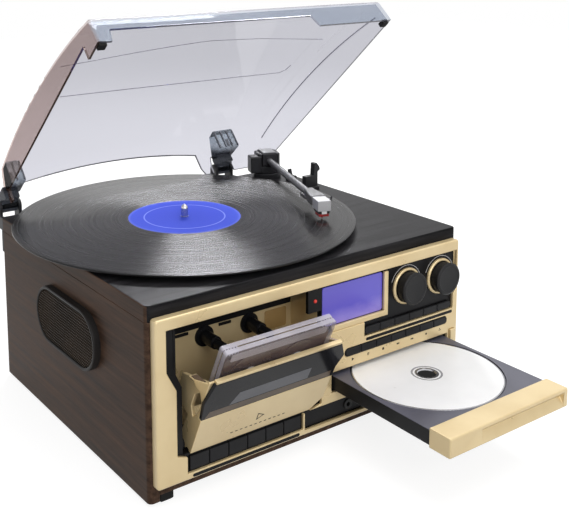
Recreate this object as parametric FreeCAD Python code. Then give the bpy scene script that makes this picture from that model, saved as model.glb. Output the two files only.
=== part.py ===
# Record player with a cassette bay, a disc tray and a hinged dust cover.
# Frame: X to the right, Y to the back, Z up, origin on the shelf below the cabinet's centre, millimetres.
# Pieces that open are drawn closed and then moved to their open rest pose.
import math
import os

import FreeCAD
import Part

V = FreeCAD.Vector

# Cabinet
CABINET_WIDTH = 312.0
CABINET_DEPTH = 258.0
DECK_TOP = 150.0
DECK_THICK = 12.0
SIDE_THICK = 9.0
SIDE_LIFT = 2.0
SIDE_ROUND = 4.0
BOARD_THICK = 8.0
BACK_THICK = 8.0
FOOT_HEIGHT = 7.0
FOOT_WIDE = 11.0
FOOT_LONG = 19.0
FOOT_GAP = 0.5

# Front moulding and the black panel behind it
BEZEL_INSET = 3.0
BEZEL_BOTTOM = 15.0
BEZEL_TOP = 141.0
BEZEL_PROUD = 7.0
BEZEL_SKIN = 3.0
BEZEL_RIM = 3.5
BEZEL_EDGE = 1.8
BEZEL_CORNER = 2.5
TOP_BAR = 9.0
PANEL_THICK = 3.0
PANEL_CLEAR = 0.3

# Display and knobs
LCD_INSET = 91.0
LCD_WIDTH = 65.0
LCD_BOTTOM = 97.0
LCD_TOP = 130.0
LCD_DEPTH = 8.0
TRIM_WIDTH = 4.5
TRIM_PROUD = 2.5
KNOB_INSETS = (64.0, 24.0)
KNOB_Z = 112.0
KNOB_BASE = 12.4
KNOB_FACE = 13.9
KNOB_LENGTH = 11.5
KNOB_CHAMFER = 1.3
STEM_RADIUS = 3.0
RING_OUTER = 15.6
RING_INNER = 13.2

# Buttons and keys
UPPER_INSET = 112.0
UPPER_COUNT = 6
UPPER_Z = 84.5
LOWER_INSET = 134.0
LOWER_COUNT = 7
LOWER_Z = 71.5
BUTTON_PITCH = 16.8
BUTTON_HEIGHT = 6.4
BUTTON_REACH = 15.0
BUTTON_TRAVEL = 1.5
TAPE_COUNT = 6
TAPE_PITCH = 17.2
TAPE_Z = 26.5
TAPE_HEIGHT = 11.0
TAPE_REACH = 18.0
TAPE_TRAVEL = 4.0
KEY_GAP = 0.6
KEY_EDGE = 0.8
POWER_INSET = 10.0
POWER_Z = 54.5
POWER_WIDTH = 6.0
POWER_HEIGHT = 14.5
POWER_PROUD = 2.0
POWER_TRAVEL = 1.5

# Disc drawer
DISC_INSET = 81.5
DISC_RADIUS = 60.0
DISC_HOLE = 7.5
DISC_THICK = 1.2
DRAWER_TRAVEL = 120.0
DRAWER_FRONT = -138.0
FRONT_WIDTH = 131.0
FRONT_DEPTH = 20.0
FRONT_BOTTOM = 43.0
FRONT_TOP = 58.0
FRONT_GAP = 0.8
SCOOP_LEFT = 33.0
SCOOP_DEPTH = 4.0
TRAY_INSET = 1.0
TRAY_LENGTH = 143.0
TRAY_TOP = 56.0
TRAY_RAIL = 44.2
TRAY_FLOOR = 4.0
DISC_SEAT = 1.7

# Cassette door, bay and cassette
DOOR_OPEN = 24.8
DOOR_HINGE_Y = -125.0
DOOR_HINGE_Z = 39.0
DOOR_INSET = 31.0
DOOR_WIDTH = 121.0
DOOR_BOTTOM = 39.0
DOOR_SPLIT = 73.5
DOOR_TOP = 108.0
DOOR_SKIN = 3.0
CHEEK_DEPTH = 29.7
CHEEK_FALL = 20.0
CHEEK_FOOT = 42.0
SHELF_DEPTH = 15.0
PIN_RADIUS = 2.0
RUN_CLEAR = 0.05
TAPE_OFFSET = -1.5
TAPE_WIDTH = 100.4
TAPE_TALL = 63.8
TAPE_SLAB = 8.7
TAPE_HEAD = 12.0
TAPE_TOP = 130.2
TAPE_Y = -126.5
HUB_SPACING = 42.5
HUB_DROP = 29.3
HUB_BORE = 6.2
BAY_GAP = 8.0
BAY_FLOOR = 34.5
BAY_TOP = 131.5
BAY_BACK = -97.0
BAY_WALL = 2.0

# Turntable
SPIN_X = -28.6
SPIN_Y = 20.7
RECORD_RADIUS = 150.8
RECORD_THICK = 1.8
RECORD_TOP = 156.0
LABEL_RADIUS = 50.0
PLATTER_RADIUS = 98.0
PLATTER_BOTTOM = 148.6
SPINDLE_RADIUS = 3.58
FREE_RADIUS = 3.2
SPINDLE_RISE = 11.0
SHAFT_RADIUS = 4.0
RECESS_RADIUS = 101.0
RECESS_FLOOR = 147.0
WELL_RADIUS = 75.0
WELL_FLOOR = 141.0
DRIVE_RADIUS = 55.0
PULLEY_RADIUS = 6.0
BELT_THICK = 0.8
BELT_CLEAR = 0.35
MOTOR_REACH = 66.0
MOTOR_ANGLE = -45.0
MOTOR_RADIUS = 16.0
MOTOR_TALL = 22.0

# Tonearm
ARM_INSET = 26.0
ARM_Y = 107.0
ARM_ANGLE = -21.6
ARM_Z = 169.0
ARM_REACH = 176.0
TUBE_RADIUS = 3.3
STAND_RADIUS = 14.5
YOKE_TOP = 177.0
YOKE_HALF = 12.0
YOKE_FRONT = 11.0
YOKE_REAR = 12.0
YOKE_ROUND = 5.0
ARM_PIN = 1.5
REST_Y = 40.0

# Dust cover
LID_OPEN = 42.1
LID_HINGE_Y = 141.0
LID_HINGE_Z = 157.0
LID_INSET = 7.5
LID_WALL = 2.2
LID_BASE = 152.2
LID_FRONT = -116.7
LID_REAR = 140.0
LID_FRONT_TOP = 176.0
LID_CROWN = 194.0
LID_CROWN_Y = 52.0
LID_SHOULDER_Y = 124.0
LID_SHOULDER_Z = 188.5
LID_HEEL = 160.0
LID_CUT = 12.0
HINGE_INSETS = (11.0, 61.0)
HINGE_PIN = 2.5
KNUCKLE_RADIUS = 5.5
KNUCKLE_HALF = 7.0
EAR_GAP = 0.8
EAR_THICK = 3.0
SOCKET_HALF = 12.0

# Speakers
GRILLE_Y = -7.0
GRILLE_Z = 94.5
GRILLE_LENGTH = 106.0
GRILLE_HEIGHT = 49.0
GRILLE_PROUD = 6.0
GRILLE_RIM = 3.0
GRILLE_SINK = 1.5
DRIVER_RADIUS = 23.0
MAGNET_RADIUS = 15.0

# Places that follow from the sizes above
HALF_W = CABINET_WIDTH / 2
HALF_D = CABINET_DEPTH / 2
INNER_W = HALF_W - SIDE_THICK
DECK_UNDER = DECK_TOP - DECK_THICK
FLOOR_TOP = FOOT_HEIGHT + BOARD_THICK
BEZEL_FRONT = -HALF_D - BEZEL_PROUD
PANEL_FRONT = BEZEL_FRONT + BEZEL_SKIN
PANEL_REAR = PANEL_FRONT + PANEL_THICK
RECORD_UNDER = RECORD_TOP - RECORD_THICK
BEZEL_WIDTH = CABINET_WIDTH - 2 * BEZEL_INSET
LID_WIDTH = CABINET_WIDTH - 2 * LID_INSET
TRAY_WIDTH = FRONT_WIDTH - 2 * TRAY_INSET
LCD_RIGHT = HALF_W - LCD_INSET
LCD_LEFT = LCD_RIGHT - LCD_WIDTH
KNOB_X = [HALF_W - inset for inset in KNOB_INSETS]
UPPER_LEFT = HALF_W - UPPER_INSET
LOWER_LEFT = HALF_W - LOWER_INSET
POWER_X = HALF_W - POWER_INSET
DISC_X = HALF_W - DISC_INSET
ARM_X = HALF_W - ARM_INSET
HINGE_X = (HINGE_INSETS[0] - HALF_W, HALF_W - HINGE_INSETS[1])
DOOR_LEFT = DOOR_INSET - HALF_W
DOOR_RIGHT = DOOR_LEFT + DOOR_WIDTH
TAPE_LEFT = DOOR_LEFT
TAPE_X = (DOOR_LEFT + DOOR_RIGHT) / 2 + TAPE_OFFSET
BAY_LEFT = DOOR_LEFT - BAY_GAP
BAY_RIGHT = DOOR_RIGHT + 1.5


def box(x0, x1, y0, y1, z0, z1):
    return Part.makeBox(x1 - x0, y1 - y0, z1 - z0, V(x0, y0, z0))


def rod(start, end, radius):
    way = V(*end) - V(*start)
    return Part.makeCylinder(radius, way.Length, V(*start), way)


def drum_z(x, y, radius, z0, z1):
    return rod((x, y, z0), (x, y, z1), radius)


def drum_y(x, z, radius, y0, y1):
    return rod((x, y0, z), (x, y1, z), radius)


def drum_x(y, z, radius, x0, x1):
    return rod((x0, y, z), (x1, y, z), radius)


def sheet_y(points, y0, y1):
    # A flat outline in X and Z, given depth along Y.
    ring = [V(x, y0, z) for x, z in points]
    return Part.Face(Part.makePolygon(ring + ring[:1])).extrude(V(0, y1 - y0, 0))


def sheet_x(points, x0, x1):
    # A flat outline in Y and Z, given width along X.
    ring = [V(x0, y, z) for y, z in points]
    return Part.Face(Part.makePolygon(ring + ring[:1])).extrude(V(x1 - x0, 0, 0))


def sheet_z(points, z0, z1):
    # A flat outline in X and Y, given height along Z.
    ring = [V(x, y, z0) for x, y in points]
    return Part.Face(Part.makePolygon(ring + ring[:1])).extrude(V(0, 0, z1 - z0))


def pill_y(x0, x1, z0, z1, y0, y1):
    # A bar with round ends, lying along X.
    r = (z1 - z0) / 2
    mid = (z0 + z1) / 2
    bar = box(x0 + r, x1 - r, y0, y1, z0, z1)
    ends = [drum_y(x, mid, r, y0, y1) for x in (x0 + r, x1 - r)]
    return bar.fuse(ends).removeSplitter()


def pill_x(length, height, x0, x1):
    # The speaker's long round-ended shape, drawn along Y on the side panel.
    r = height / 2
    reach = length / 2 - r
    bar = box(x0, x1, GRILLE_Y - reach, GRILLE_Y + reach, GRILLE_Z - r, GRILLE_Z + r)
    ends = [drum_x(GRILLE_Y + way * reach, GRILLE_Z, r, x0, x1) for way in (-1, 1)]
    return bar.fuse(ends).removeSplitter()


def turned(points, base, axis):
    # A turned piece: (radius, distance along the axis) pairs swung round the Z axis, then laid along axis.
    ring = [V(r, 0, h) for r, h in points]
    solid = Part.Face(Part.makePolygon(ring + ring[:1])).revolve(V(0, 0, 0), V(0, 0, 1), 360)
    solid.Placement = FreeCAD.Placement(V(*base), FreeCAD.Rotation(V(0, 0, 1), V(*axis)))
    return solid


def soften(shape, radius, wanted):
    # Rounds the edges whose middle point passes the test.
    edges = [e for e in shape.Edges if wanted(e.CenterOfMass, e.BoundBox)]
    return shape.makeFillet(radius, edges)


def mirrored(shape):
    return shape.mirror(V(0, 0, 0), V(1, 0, 0))


def group(shapes):
    return Part.makeCompound(shapes)


def save(name, shape):
    shape.exportStep("parts/" + name + ".step")


def turn_x(shape, y, z, degrees):
    turned_shape = shape.copy()
    turned_shape.rotate(V(0, y, z), V(1, 0, 0), degrees)
    return turned_shape


os.makedirs("parts", exist_ok=True)

# Cabinet: two side panels with a speaker opening each, a deck on top, a board below and a back.
side = box(-HALF_W, -INNER_W, -HALF_D, HALF_D, SIDE_LIFT, DECK_UNDER)
side = soften(side, SIDE_ROUND, lambda c, b: c.x < -HALF_W + 0.1 and c.y < -HALF_D + 0.1)
plug_length = GRILLE_LENGTH - 2 * GRILLE_RIM
plug_height = GRILLE_HEIGHT - 2 * GRILLE_RIM
plug_fit = 2 * PANEL_CLEAR
side = side.cut(pill_x(plug_length + plug_fit, plug_height + plug_fit, -HALF_W, -INNER_W))
save("side_panels", group([side, mirrored(side)]))

deck = box(-HALF_W, HALF_W, -HALF_D, HALF_D, DECK_UNDER, DECK_TOP)
deck = soften(deck, SIDE_ROUND, lambda c, b: b.ZLength > 1 and c.y < 0)
deck = soften(deck, 1.2, lambda c, b: c.z > DECK_TOP - 0.1)
BUSH_RADIUS = 9.0
BUSH_FIT = 0.2
motor_x = SPIN_X + MOTOR_REACH * math.cos(math.radians(MOTOR_ANGLE))
motor_y = SPIN_Y + MOTOR_REACH * math.sin(math.radians(MOTOR_ANGLE))
MOTOR_HOLE = 4.0
deck = deck.cut(drum_z(SPIN_X, SPIN_Y, RECESS_RADIUS, RECESS_FLOOR, DECK_TOP))
deck = deck.cut(drum_z(SPIN_X, SPIN_Y, WELL_RADIUS, WELL_FLOOR, DECK_TOP))
deck = deck.cut(drum_z(SPIN_X, SPIN_Y, BUSH_RADIUS + BUSH_FIT, DECK_UNDER, DECK_TOP))
deck = deck.cut(drum_z(motor_x, motor_y, MOTOR_HOLE, DECK_UNDER, DECK_TOP))
save("top_deck", deck)

save("bottom_board", box(-INNER_W, INNER_W, -HALF_D, HALF_D, FOOT_HEIGHT, FLOOR_TOP))
save("back_panel", box(-INNER_W, INNER_W, HALF_D - BACK_THICK, HALF_D, FLOOR_TOP, DECK_UNDER))

FOOT_TAPER = 1.5
foot_x = INNER_W - FOOT_GAP
foot_y = HALF_D - FOOT_GAP
foot = box(-foot_x, -foot_x + FOOT_WIDE, -foot_y, -foot_y + FOOT_LONG, 0, FOOT_HEIGHT)
foot = foot.makeChamfer(FOOT_TAPER, [e for e in foot.Edges if e.BoundBox.ZMax < 0.1])
rear_foot = foot.mirror(V(0, 0, 0), V(0, 1, 0))
feet = [foot, rear_foot, mirrored(foot), mirrored(rear_foot)]
save("rubber_feet", group(feet))

# Speakers: a raised round-ended grille outside each panel and a cone driver inside it.
rim_outer = -HALF_W - GRILLE_PROUD
grille = pill_x(GRILLE_LENGTH, GRILLE_HEIGHT, rim_outer, -HALF_W)
grille = soften(grille, 1.2, lambda c, b: c.x < rim_outer + 0.1)
grille = grille.cut(pill_x(plug_length, plug_height, rim_outer, rim_outer + GRILLE_SINK))
grille = grille.fuse(pill_x(plug_length, plug_height, -HALF_W, -INNER_W - 4))
save("speaker_grilles", group([grille, mirrored(grille)]))

MAGNET_DEPTH = 12.0
CONE_DEPTH = 16.0
driver_shape = [(0, 0), (DRIVER_RADIUS, 0), (DRIVER_RADIUS, 3), (DRIVER_RADIUS - 3, 3)]
driver_shape += [(MAGNET_RADIUS - 2, CONE_DEPTH), (MAGNET_RADIUS, CONE_DEPTH)]
driver_shape += [(MAGNET_RADIUS, CONE_DEPTH + MAGNET_DEPTH), (0, CONE_DEPTH + MAGNET_DEPTH)]
driver = turned(driver_shape, (-INNER_W, GRILLE_Y, GRILLE_Z), (1, 0, 0))
save("speaker_drivers", group([driver, mirrored(driver)]))

# Front moulding: one gold skin with a rim behind it, opened for the bay, the black panel and the slots.
half_bezel = BEZEL_WIDTH / 2
bar_under = BEZEL_TOP - TOP_BAR
BAR_LEFT = -half_bezel + 9
PILLAR_LEFT = -half_bezel + 17
PILLAR_TOP = 86.0
BAR_FOOT = 101.0
BAR_RIGHT = half_bezel - 2.5
LEDGE_RIGHT = half_bezel - 6
BULGE_TOP = 97.0
WING_FOOT = 82.0
SHELF_TOP = 92.5
UPPER_GAP = 1.0
DOOR_EDGE = DOOR_RIGHT + 2
upper_under = UPPER_Z - BUTTON_HEIGHT / 2 - UPPER_GAP
keys_under = TAPE_Z - TAPE_HEIGHT / 2 - UPPER_GAP
keys_over = TAPE_Z + TAPE_HEIGHT / 2 + UPPER_GAP
keys_left = TAPE_LEFT - 2.5
keys_right = TAPE_LEFT + TAPE_COUNT * TAPE_PITCH + 1.3
bezel = box(-half_bezel, half_bezel, BEZEL_FRONT, -HALF_D, BEZEL_BOTTOM, BEZEL_TOP)
bezel = soften(bezel, BEZEL_CORNER, lambda c, b: b.YLength > 1)
bezel = soften(bezel, BEZEL_EDGE, lambda c, b: c.y < BEZEL_FRONT + 0.1)
rim_in = half_bezel - BEZEL_RIM
bezel = bezel.cut(box(-rim_in, rim_in, PANEL_FRONT, -HALF_D, BEZEL_BOTTOM + BEZEL_RIM, BEZEL_TOP - BEZEL_RIM))
window = [(BAR_LEFT, bar_under), (BAR_RIGHT, bar_under), (BAR_RIGHT, BULGE_TOP)]
window += [(LEDGE_RIGHT, BULGE_TOP - 4), (LEDGE_RIGHT, upper_under), (UPPER_LEFT - 1, upper_under)]
window += [(UPPER_LEFT - 1, SHELF_TOP), (DOOR_EDGE + 10, SHELF_TOP), (DOOR_EDGE, WING_FOOT)]
window += [(DOOR_EDGE, keys_over + 3), (keys_right, keys_over), (keys_right, keys_under)]
window += [(keys_left, keys_under), (keys_left, keys_over), (PILLAR_LEFT, keys_over + 3)]
window += [(PILLAR_LEFT, PILLAR_TOP), (BAR_LEFT, BAR_FOOT)]
bezel = bezel.cut(sheet_y(window, BEZEL_FRONT, PANEL_FRONT))

lower_end = LOWER_LEFT + LOWER_COUNT * BUTTON_PITCH
lower_slot = (LOWER_LEFT - PANEL_CLEAR, lower_end + PANEL_CLEAR)
lower_high = (LOWER_Z - BUTTON_HEIGHT / 2 - PANEL_CLEAR, LOWER_Z + BUTTON_HEIGHT / 2 + PANEL_CLEAR)
lower_hole = pill_y(*lower_slot, *lower_high, BEZEL_FRONT, PANEL_REAR)
disc_slot = (DISC_X - FRONT_WIDTH / 2 - FRONT_GAP, DISC_X + FRONT_WIDTH / 2 + FRONT_GAP)
disc_hole = box(*disc_slot, BEZEL_FRONT, PANEL_REAR, FRONT_BOTTOM - FRONT_GAP, FRONT_TOP + FRONT_GAP)
power_half = POWER_WIDTH / 2 + PANEL_CLEAR
power_reach = POWER_HEIGHT / 2 + PANEL_CLEAR
power_side = (POWER_X - power_half, POWER_X + power_half)
power_hole = box(*power_side, BEZEL_FRONT, PANEL_REAR, POWER_Z - power_reach, POWER_Z + power_reach)
JACK_X = LOWER_LEFT + 6
JACK_Z = 26.0
JACK_RADIUS = 4.3
JACK_BORE = 1.8
DIVIDER = 1.5
LOWER_PANEL = (keys_right + DIVIDER, half_bezel - 13, 18.8, 34.0)
bezel = bezel.cut(lower_hole).cut(disc_hole).cut(power_hole)
bezel = bezel.cut(pill_y(*LOWER_PANEL, BEZEL_FRONT, PANEL_FRONT))
square_end = (LOWER_PANEL[0], JACK_X, BEZEL_FRONT, PANEL_FRONT, *LOWER_PANEL[2:])
bezel = bezel.cut(box(*square_end))
save("front_bezel", bezel)

# Black panel behind the moulding: carries the display, the knobs, every button and the bay opening.
panel_half = rim_in - PANEL_CLEAR
panel_low = BEZEL_BOTTOM + BEZEL_RIM + PANEL_CLEAR
panel_high = BEZEL_TOP - BEZEL_RIM - PANEL_CLEAR
panel = box(-panel_half, panel_half, PANEL_FRONT, PANEL_REAR, panel_low, panel_high)
BAY_UPPER_LEFT = BAY_LEFT - 4
BAY_UPPER_RIGHT = DOOR_RIGHT - 10
BAY_STEP = 112.0
bay = [(BAY_UPPER_LEFT, BAY_TOP - 0.5), (BAY_UPPER_RIGHT, BAY_TOP - 0.5), (BAY_UPPER_RIGHT, BAY_STEP)]
bay += [(BAY_RIGHT + 1.5, BAY_STEP), (BAY_RIGHT + 1.5, BAY_FLOOR), (BAY_LEFT + 3, BAY_FLOOR)]
bay += [(BAY_LEFT + 3, PILLAR_TOP), (BAY_UPPER_LEFT, BAR_FOOT)]
panel = panel.cut(sheet_y(bay, PANEL_FRONT, PANEL_REAR))
upper_slot = (UPPER_LEFT - PANEL_CLEAR, UPPER_LEFT + UPPER_COUNT * BUTTON_PITCH + PANEL_CLEAR)
upper_high = (UPPER_Z - BUTTON_HEIGHT / 2 - PANEL_CLEAR, UPPER_Z + BUTTON_HEIGHT / 2 + PANEL_CLEAR)
upper_hole = pill_y(*upper_slot, *upper_high, PANEL_FRONT, PANEL_REAR)
tape_slot = (TAPE_LEFT - PANEL_CLEAR, TAPE_LEFT + TAPE_COUNT * TAPE_PITCH + PANEL_CLEAR)
tape_high = (TAPE_Z - TAPE_HEIGHT / 2 - PANEL_CLEAR, TAPE_Z + TAPE_HEIGHT / 2 + PANEL_CLEAR)
tape_hole = box(*tape_slot, PANEL_FRONT, PANEL_REAR, *tape_high)
lcd_hole = box(LCD_LEFT, LCD_RIGHT, PANEL_FRONT, PANEL_REAR, LCD_BOTTOM, LCD_TOP)
panel = panel.cut(upper_hole).cut(lower_hole).cut(tape_hole).cut(lcd_hole)
panel = panel.cut(disc_hole).cut(power_hole)
panel = panel.cut(drum_y(JACK_X, JACK_Z, JACK_RADIUS, PANEL_FRONT, PANEL_REAR))
for knob_x in KNOB_X:
    panel = panel.cut(drum_y(knob_x, KNOB_Z, STEM_RADIUS + RUN_CLEAR, PANEL_FRONT, PANEL_REAR))
save("control_panel", panel)

lens = box(LCD_LEFT + PANEL_CLEAR, LCD_RIGHT - PANEL_CLEAR, PANEL_FRONT, PANEL_REAR,
           LCD_BOTTOM + PANEL_CLEAR, LCD_TOP - PANEL_CLEAR)
module = box(LCD_LEFT + PANEL_CLEAR, LCD_RIGHT + 4, PANEL_REAR, PANEL_REAR + LCD_DEPTH,
             LCD_BOTTOM - 4, LCD_TOP + 4)
save("display_window", lens.fuse(module))

trim_front = PANEL_FRONT - TRIM_PROUD
trim = box(DOOR_EDGE + 11, LCD_RIGHT + TRIM_WIDTH, trim_front, PANEL_FRONT, LCD_BOTTOM - TRIM_WIDTH, LCD_BOTTOM)
trim = trim.fuse(box(LCD_RIGHT, LCD_RIGHT + TRIM_WIDTH, trim_front, PANEL_FRONT, LCD_BOTTOM, LCD_TOP))
trim = soften(trim.removeSplitter(), 0.8, lambda c, b: c.y < trim_front + 0.1)
trims = [trim]
for knob_x in KNOB_X:
    ring_shape = [(RING_INNER, 0), (RING_OUTER, 0), (RING_OUTER, TRIM_PROUD - 1)]
    ring_shape += [(RING_OUTER - 1, TRIM_PROUD), (RING_INNER + 0.6, TRIM_PROUD), (RING_INNER, TRIM_PROUD - 0.6)]
    trims.append(turned(ring_shape, (knob_x, PANEL_FRONT, KNOB_Z), (0, -1, 0)))
save("front_trim", group(trims))

# Knobs: flared black caps on stems that turn in the panel.
KNOB_LIFT = 1.0
STEM_LENGTH = 13.0
knob_shape = [(0, -STEM_LENGTH), (STEM_RADIUS, -STEM_LENGTH), (STEM_RADIUS, KNOB_LIFT), (KNOB_BASE, KNOB_LIFT)]
knob_shape += [(KNOB_FACE, KNOB_LENGTH - KNOB_CHAMFER), (KNOB_FACE - KNOB_CHAMFER, KNOB_LENGTH), (0, KNOB_LENGTH)]
for name, knob_x in zip(("volume_knob", "tuning_knob"), KNOB_X):
    save(name, turned(knob_shape, (knob_x, PANEL_FRONT, KNOB_Z), (0, -1, 0)))


def key_row(name, left, pitch, count, z, height, front, reach, outline):
    # One bar cut into keys; the outline rounds the ends of the row.
    for i in range(count):
        x0 = left + i * pitch + KEY_GAP / 2
        key = box(x0, x0 + pitch - KEY_GAP, front, front + reach, z - height / 2, z + height / 2)
        key = key.common(outline)
        key = soften(key, KEY_EDGE, lambda c, b: c.y < front + 0.1)
        save(name + "_" + str(i + 1), key)


upper_front = BEZEL_FRONT + 0.5
lower_front = BEZEL_FRONT - 0.8
tape_front = PANEL_FRONT - 1.5
upper_row = pill_y(UPPER_LEFT, UPPER_LEFT + UPPER_COUNT * BUTTON_PITCH, UPPER_Z - BUTTON_HEIGHT / 2,
                   UPPER_Z + BUTTON_HEIGHT / 2, upper_front, upper_front + BUTTON_REACH)
lower_row = pill_y(LOWER_LEFT, lower_end, LOWER_Z - BUTTON_HEIGHT / 2, LOWER_Z + BUTTON_HEIGHT / 2,
                   lower_front, lower_front + BUTTON_REACH)
tape_row = box(TAPE_LEFT, TAPE_LEFT + TAPE_COUNT * TAPE_PITCH, tape_front, tape_front + TAPE_REACH,
               TAPE_Z - TAPE_HEIGHT / 2, TAPE_Z + TAPE_HEIGHT / 2)
key_row("upper_button", UPPER_LEFT, BUTTON_PITCH, UPPER_COUNT, UPPER_Z, BUTTON_HEIGHT, upper_front,
        BUTTON_REACH, upper_row)
key_row("lower_button", LOWER_LEFT, BUTTON_PITCH, LOWER_COUNT, LOWER_Z, BUTTON_HEIGHT, lower_front,
        BUTTON_REACH, lower_row)
key_row("tape_key", TAPE_LEFT, TAPE_PITCH, TAPE_COUNT, TAPE_Z, TAPE_HEIGHT, tape_front, TAPE_REACH, tape_row)

power_front = BEZEL_FRONT - POWER_PROUD
power_rear = PANEL_REAR - POWER_TRAVEL
POWER_STEM = 3.5
power = box(POWER_X - POWER_WIDTH / 2, POWER_X + POWER_WIDTH / 2, power_front, power_rear,
            POWER_Z - POWER_HEIGHT / 2, POWER_Z + POWER_HEIGHT / 2)
power = soften(power, KEY_EDGE, lambda c, b: c.y < power_front + 0.1)
stem_left = POWER_X - POWER_WIDTH / 2
stem_end = power_front + BUTTON_REACH
power = power.fuse(box(stem_left, stem_left + POWER_STEM, power_rear, stem_end, POWER_Z - 3, POWER_Z + 3))
save("power_button", power)

# Electronics: a control board on posts behind the panel, and the transformer on the bottom board.
BOARD_Y = -116.0
BOARD_SHEET = 1.6
POST_RADIUS = 2.0
POT_RADIUS = 8.0
BOARD_LOW = 63.0
BOARD_HIGH = 136.0
board_left = LOWER_LEFT - 8
board_right = INNER_W - 1
switch_front = upper_front + BUTTON_REACH + BUTTON_TRAVEL + PANEL_CLEAR
board = box(board_left, board_right, BOARD_Y, BOARD_Y + BOARD_SHEET, BOARD_LOW, BOARD_HIGH)
post_low = BOARD_LOW + 2.5
post_high = BOARD_HIGH - 3
post_right = board_right - 2.5
post_places = [(board_left + 2.5, post_low), (post_right, post_low)]
post_places += [(LCD_RIGHT + 11, post_high), (post_right, post_high)]
for post_x, post_z in post_places:
    board = board.fuse(drum_y(post_x, post_z, POST_RADIUS, PANEL_REAR, BOARD_Y))
for knob_x in KNOB_X:
    pot_front = PANEL_FRONT + STEM_LENGTH + PANEL_CLEAR
    board = board.fuse(drum_y(knob_x, KNOB_Z, POT_RADIUS, pot_front, BOARD_Y))
for left, count, z in ((UPPER_LEFT, UPPER_COUNT, UPPER_Z), (LOWER_LEFT, LOWER_COUNT, LOWER_Z)):
    right = left + count * BUTTON_PITCH
    board = board.fuse(box(left, right, switch_front, BOARD_Y, z - 2, z + 2))
CORE_WIDE = 45.0
CORE_DEEP = 45.0
CORE_TALL = 35.0
COIL_OUT = 6.0
core_x = -INNER_W + 7
core_y = HALF_D - BACK_THICK - 61
transformer = box(core_x, core_x + CORE_WIDE, core_y, core_y + CORE_DEEP, FLOOR_TOP, FLOOR_TOP + CORE_TALL)
coil = box(core_x + COIL_OUT, core_x + CORE_WIDE - COIL_OUT, core_y - COIL_OUT, core_y + CORE_DEEP + COIL_OUT,
           FLOOR_TOP, FLOOR_TOP + CORE_TALL - 7)
transformer = transformer.fuse(coil)
save("electronics", group([board, transformer]))

# Sockets: the headphone socket in the lower panel and, at the back, two line sockets and a mains inlet.
jack_depth = 14.0
jack = drum_y(JACK_X, JACK_Z, JACK_RADIUS - RUN_CLEAR, PANEL_FRONT - 1, PANEL_FRONT + jack_depth)
jack = jack.fuse(drum_y(JACK_X, JACK_Z, JACK_RADIUS + 2, PANEL_REAR, PANEL_REAR + 3))
jack = jack.cut(drum_y(JACK_X, JACK_Z, JACK_BORE, PANEL_FRONT - 1, PANEL_FRONT + jack_depth - 2))
sockets = [jack]
BACK_ROW = 42.0
LINE_LONG = 9.0
LINE_FROM_SIDE = (94.0, 114.0)
INLET_FROM_SIDE = 50.0
INLET_HALF = 11.0
INLET_TALL = 8.0
INLET_PROUD = 3.0
for from_side in LINE_FROM_SIDE:
    line_x = from_side - HALF_W
    line = drum_y(line_x, BACK_ROW, 6, HALF_D, HALF_D + 1.5)
    line = line.fuse(drum_y(line_x, BACK_ROW, 4.2, HALF_D, HALF_D + LINE_LONG))
    sockets.append(line.cut(drum_y(line_x, BACK_ROW, 1.7, HALF_D + 2, HALF_D + LINE_LONG)))
inlet_left = HALF_W - INLET_FROM_SIDE - 2 * INLET_HALF
inlet_right = HALF_W - INLET_FROM_SIDE
inlet = box(inlet_left, inlet_right, HALF_D, HALF_D + INLET_PROUD, BACK_ROW - INLET_TALL, BACK_ROW + INLET_TALL)
inlet_mouth = pill_y(inlet_left + 4, inlet_right - 4, BACK_ROW - 4, BACK_ROW + 4, HALF_D + 0.8, HALF_D + INLET_PROUD)
sockets.append(inlet.cut(inlet_mouth))
save("sockets", group(sockets))

# Cassette bay: a five-sided box behind the panel with the tape drive fixed to its back.
well = box(BAY_LEFT - BAY_WALL, BAY_RIGHT + BAY_WALL, PANEL_REAR, BAY_BACK + BAY_WALL, BAY_FLOOR - 1.7, BAY_TOP + 1.5)
well = well.cut(box(BAY_LEFT, BAY_RIGHT, PANEL_REAR, BAY_BACK, BAY_FLOOR, BAY_TOP))
BOSS_RADIUS = 4.5
boss_end = DOOR_LEFT - 0.8
well = well.fuse(drum_x(DOOR_HINGE_Y, DOOR_HINGE_Z, BOSS_RADIUS, BAY_LEFT, boss_end))
well = well.fuse(box(BAY_LEFT, boss_end, DOOR_HINGE_Y - 2, DOOR_HINGE_Y + 2, BAY_FLOOR, DOOR_HINGE_Z))
well = well.cut(drum_x(DOOR_HINGE_Y, DOOR_HINGE_Z, PIN_RADIUS + RUN_CLEAR, BAY_LEFT + 1, boss_end))
well = well.cut(drum_x(DOOR_HINGE_Y, DOOR_HINGE_Z, PIN_RADIUS + RUN_CLEAR, BAY_RIGHT, BAY_RIGHT + BAY_WALL))
DRIVE_REAR = BAY_BACK + 20
LEVER_FRONT = tape_front + TAPE_REACH + TAPE_TRAVEL + 1
DRIVE_LOW = 46.0
DRIVE_HIGH = 122.0
well = well.fuse(box(DOOR_LEFT + 1, DOOR_RIGHT - 6, BAY_BACK + BAY_WALL, DRIVE_REAR, DRIVE_LOW, DRIVE_HIGH))
well = well.fuse(box(TAPE_LEFT, keys_right - 1, BAY_BACK + BAY_WALL, BAY_BACK + 10, FLOOR_TOP + 3, DRIVE_LOW))
well = well.fuse(box(TAPE_LEFT, keys_right - 1, LEVER_FRONT, BAY_BACK + BAY_WALL, 20, 30))
hub_z = TAPE_TOP - HUB_DROP
HEAD_WIDTH = 14.0
HEAD_FRONT = -117.0
head_top = TAPE_TOP - TAPE_TALL - 3
head_side = (TAPE_X - HEAD_WIDTH / 2, TAPE_X + HEAD_WIDTH / 2)
well = well.fuse(box(*head_side, HEAD_FRONT, BAY_BACK, head_top - 9, head_top))
REEL_SHAFT = 2.5
REEL_RADIUS = 3.6
REEL_FOOT = 5.0
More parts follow.
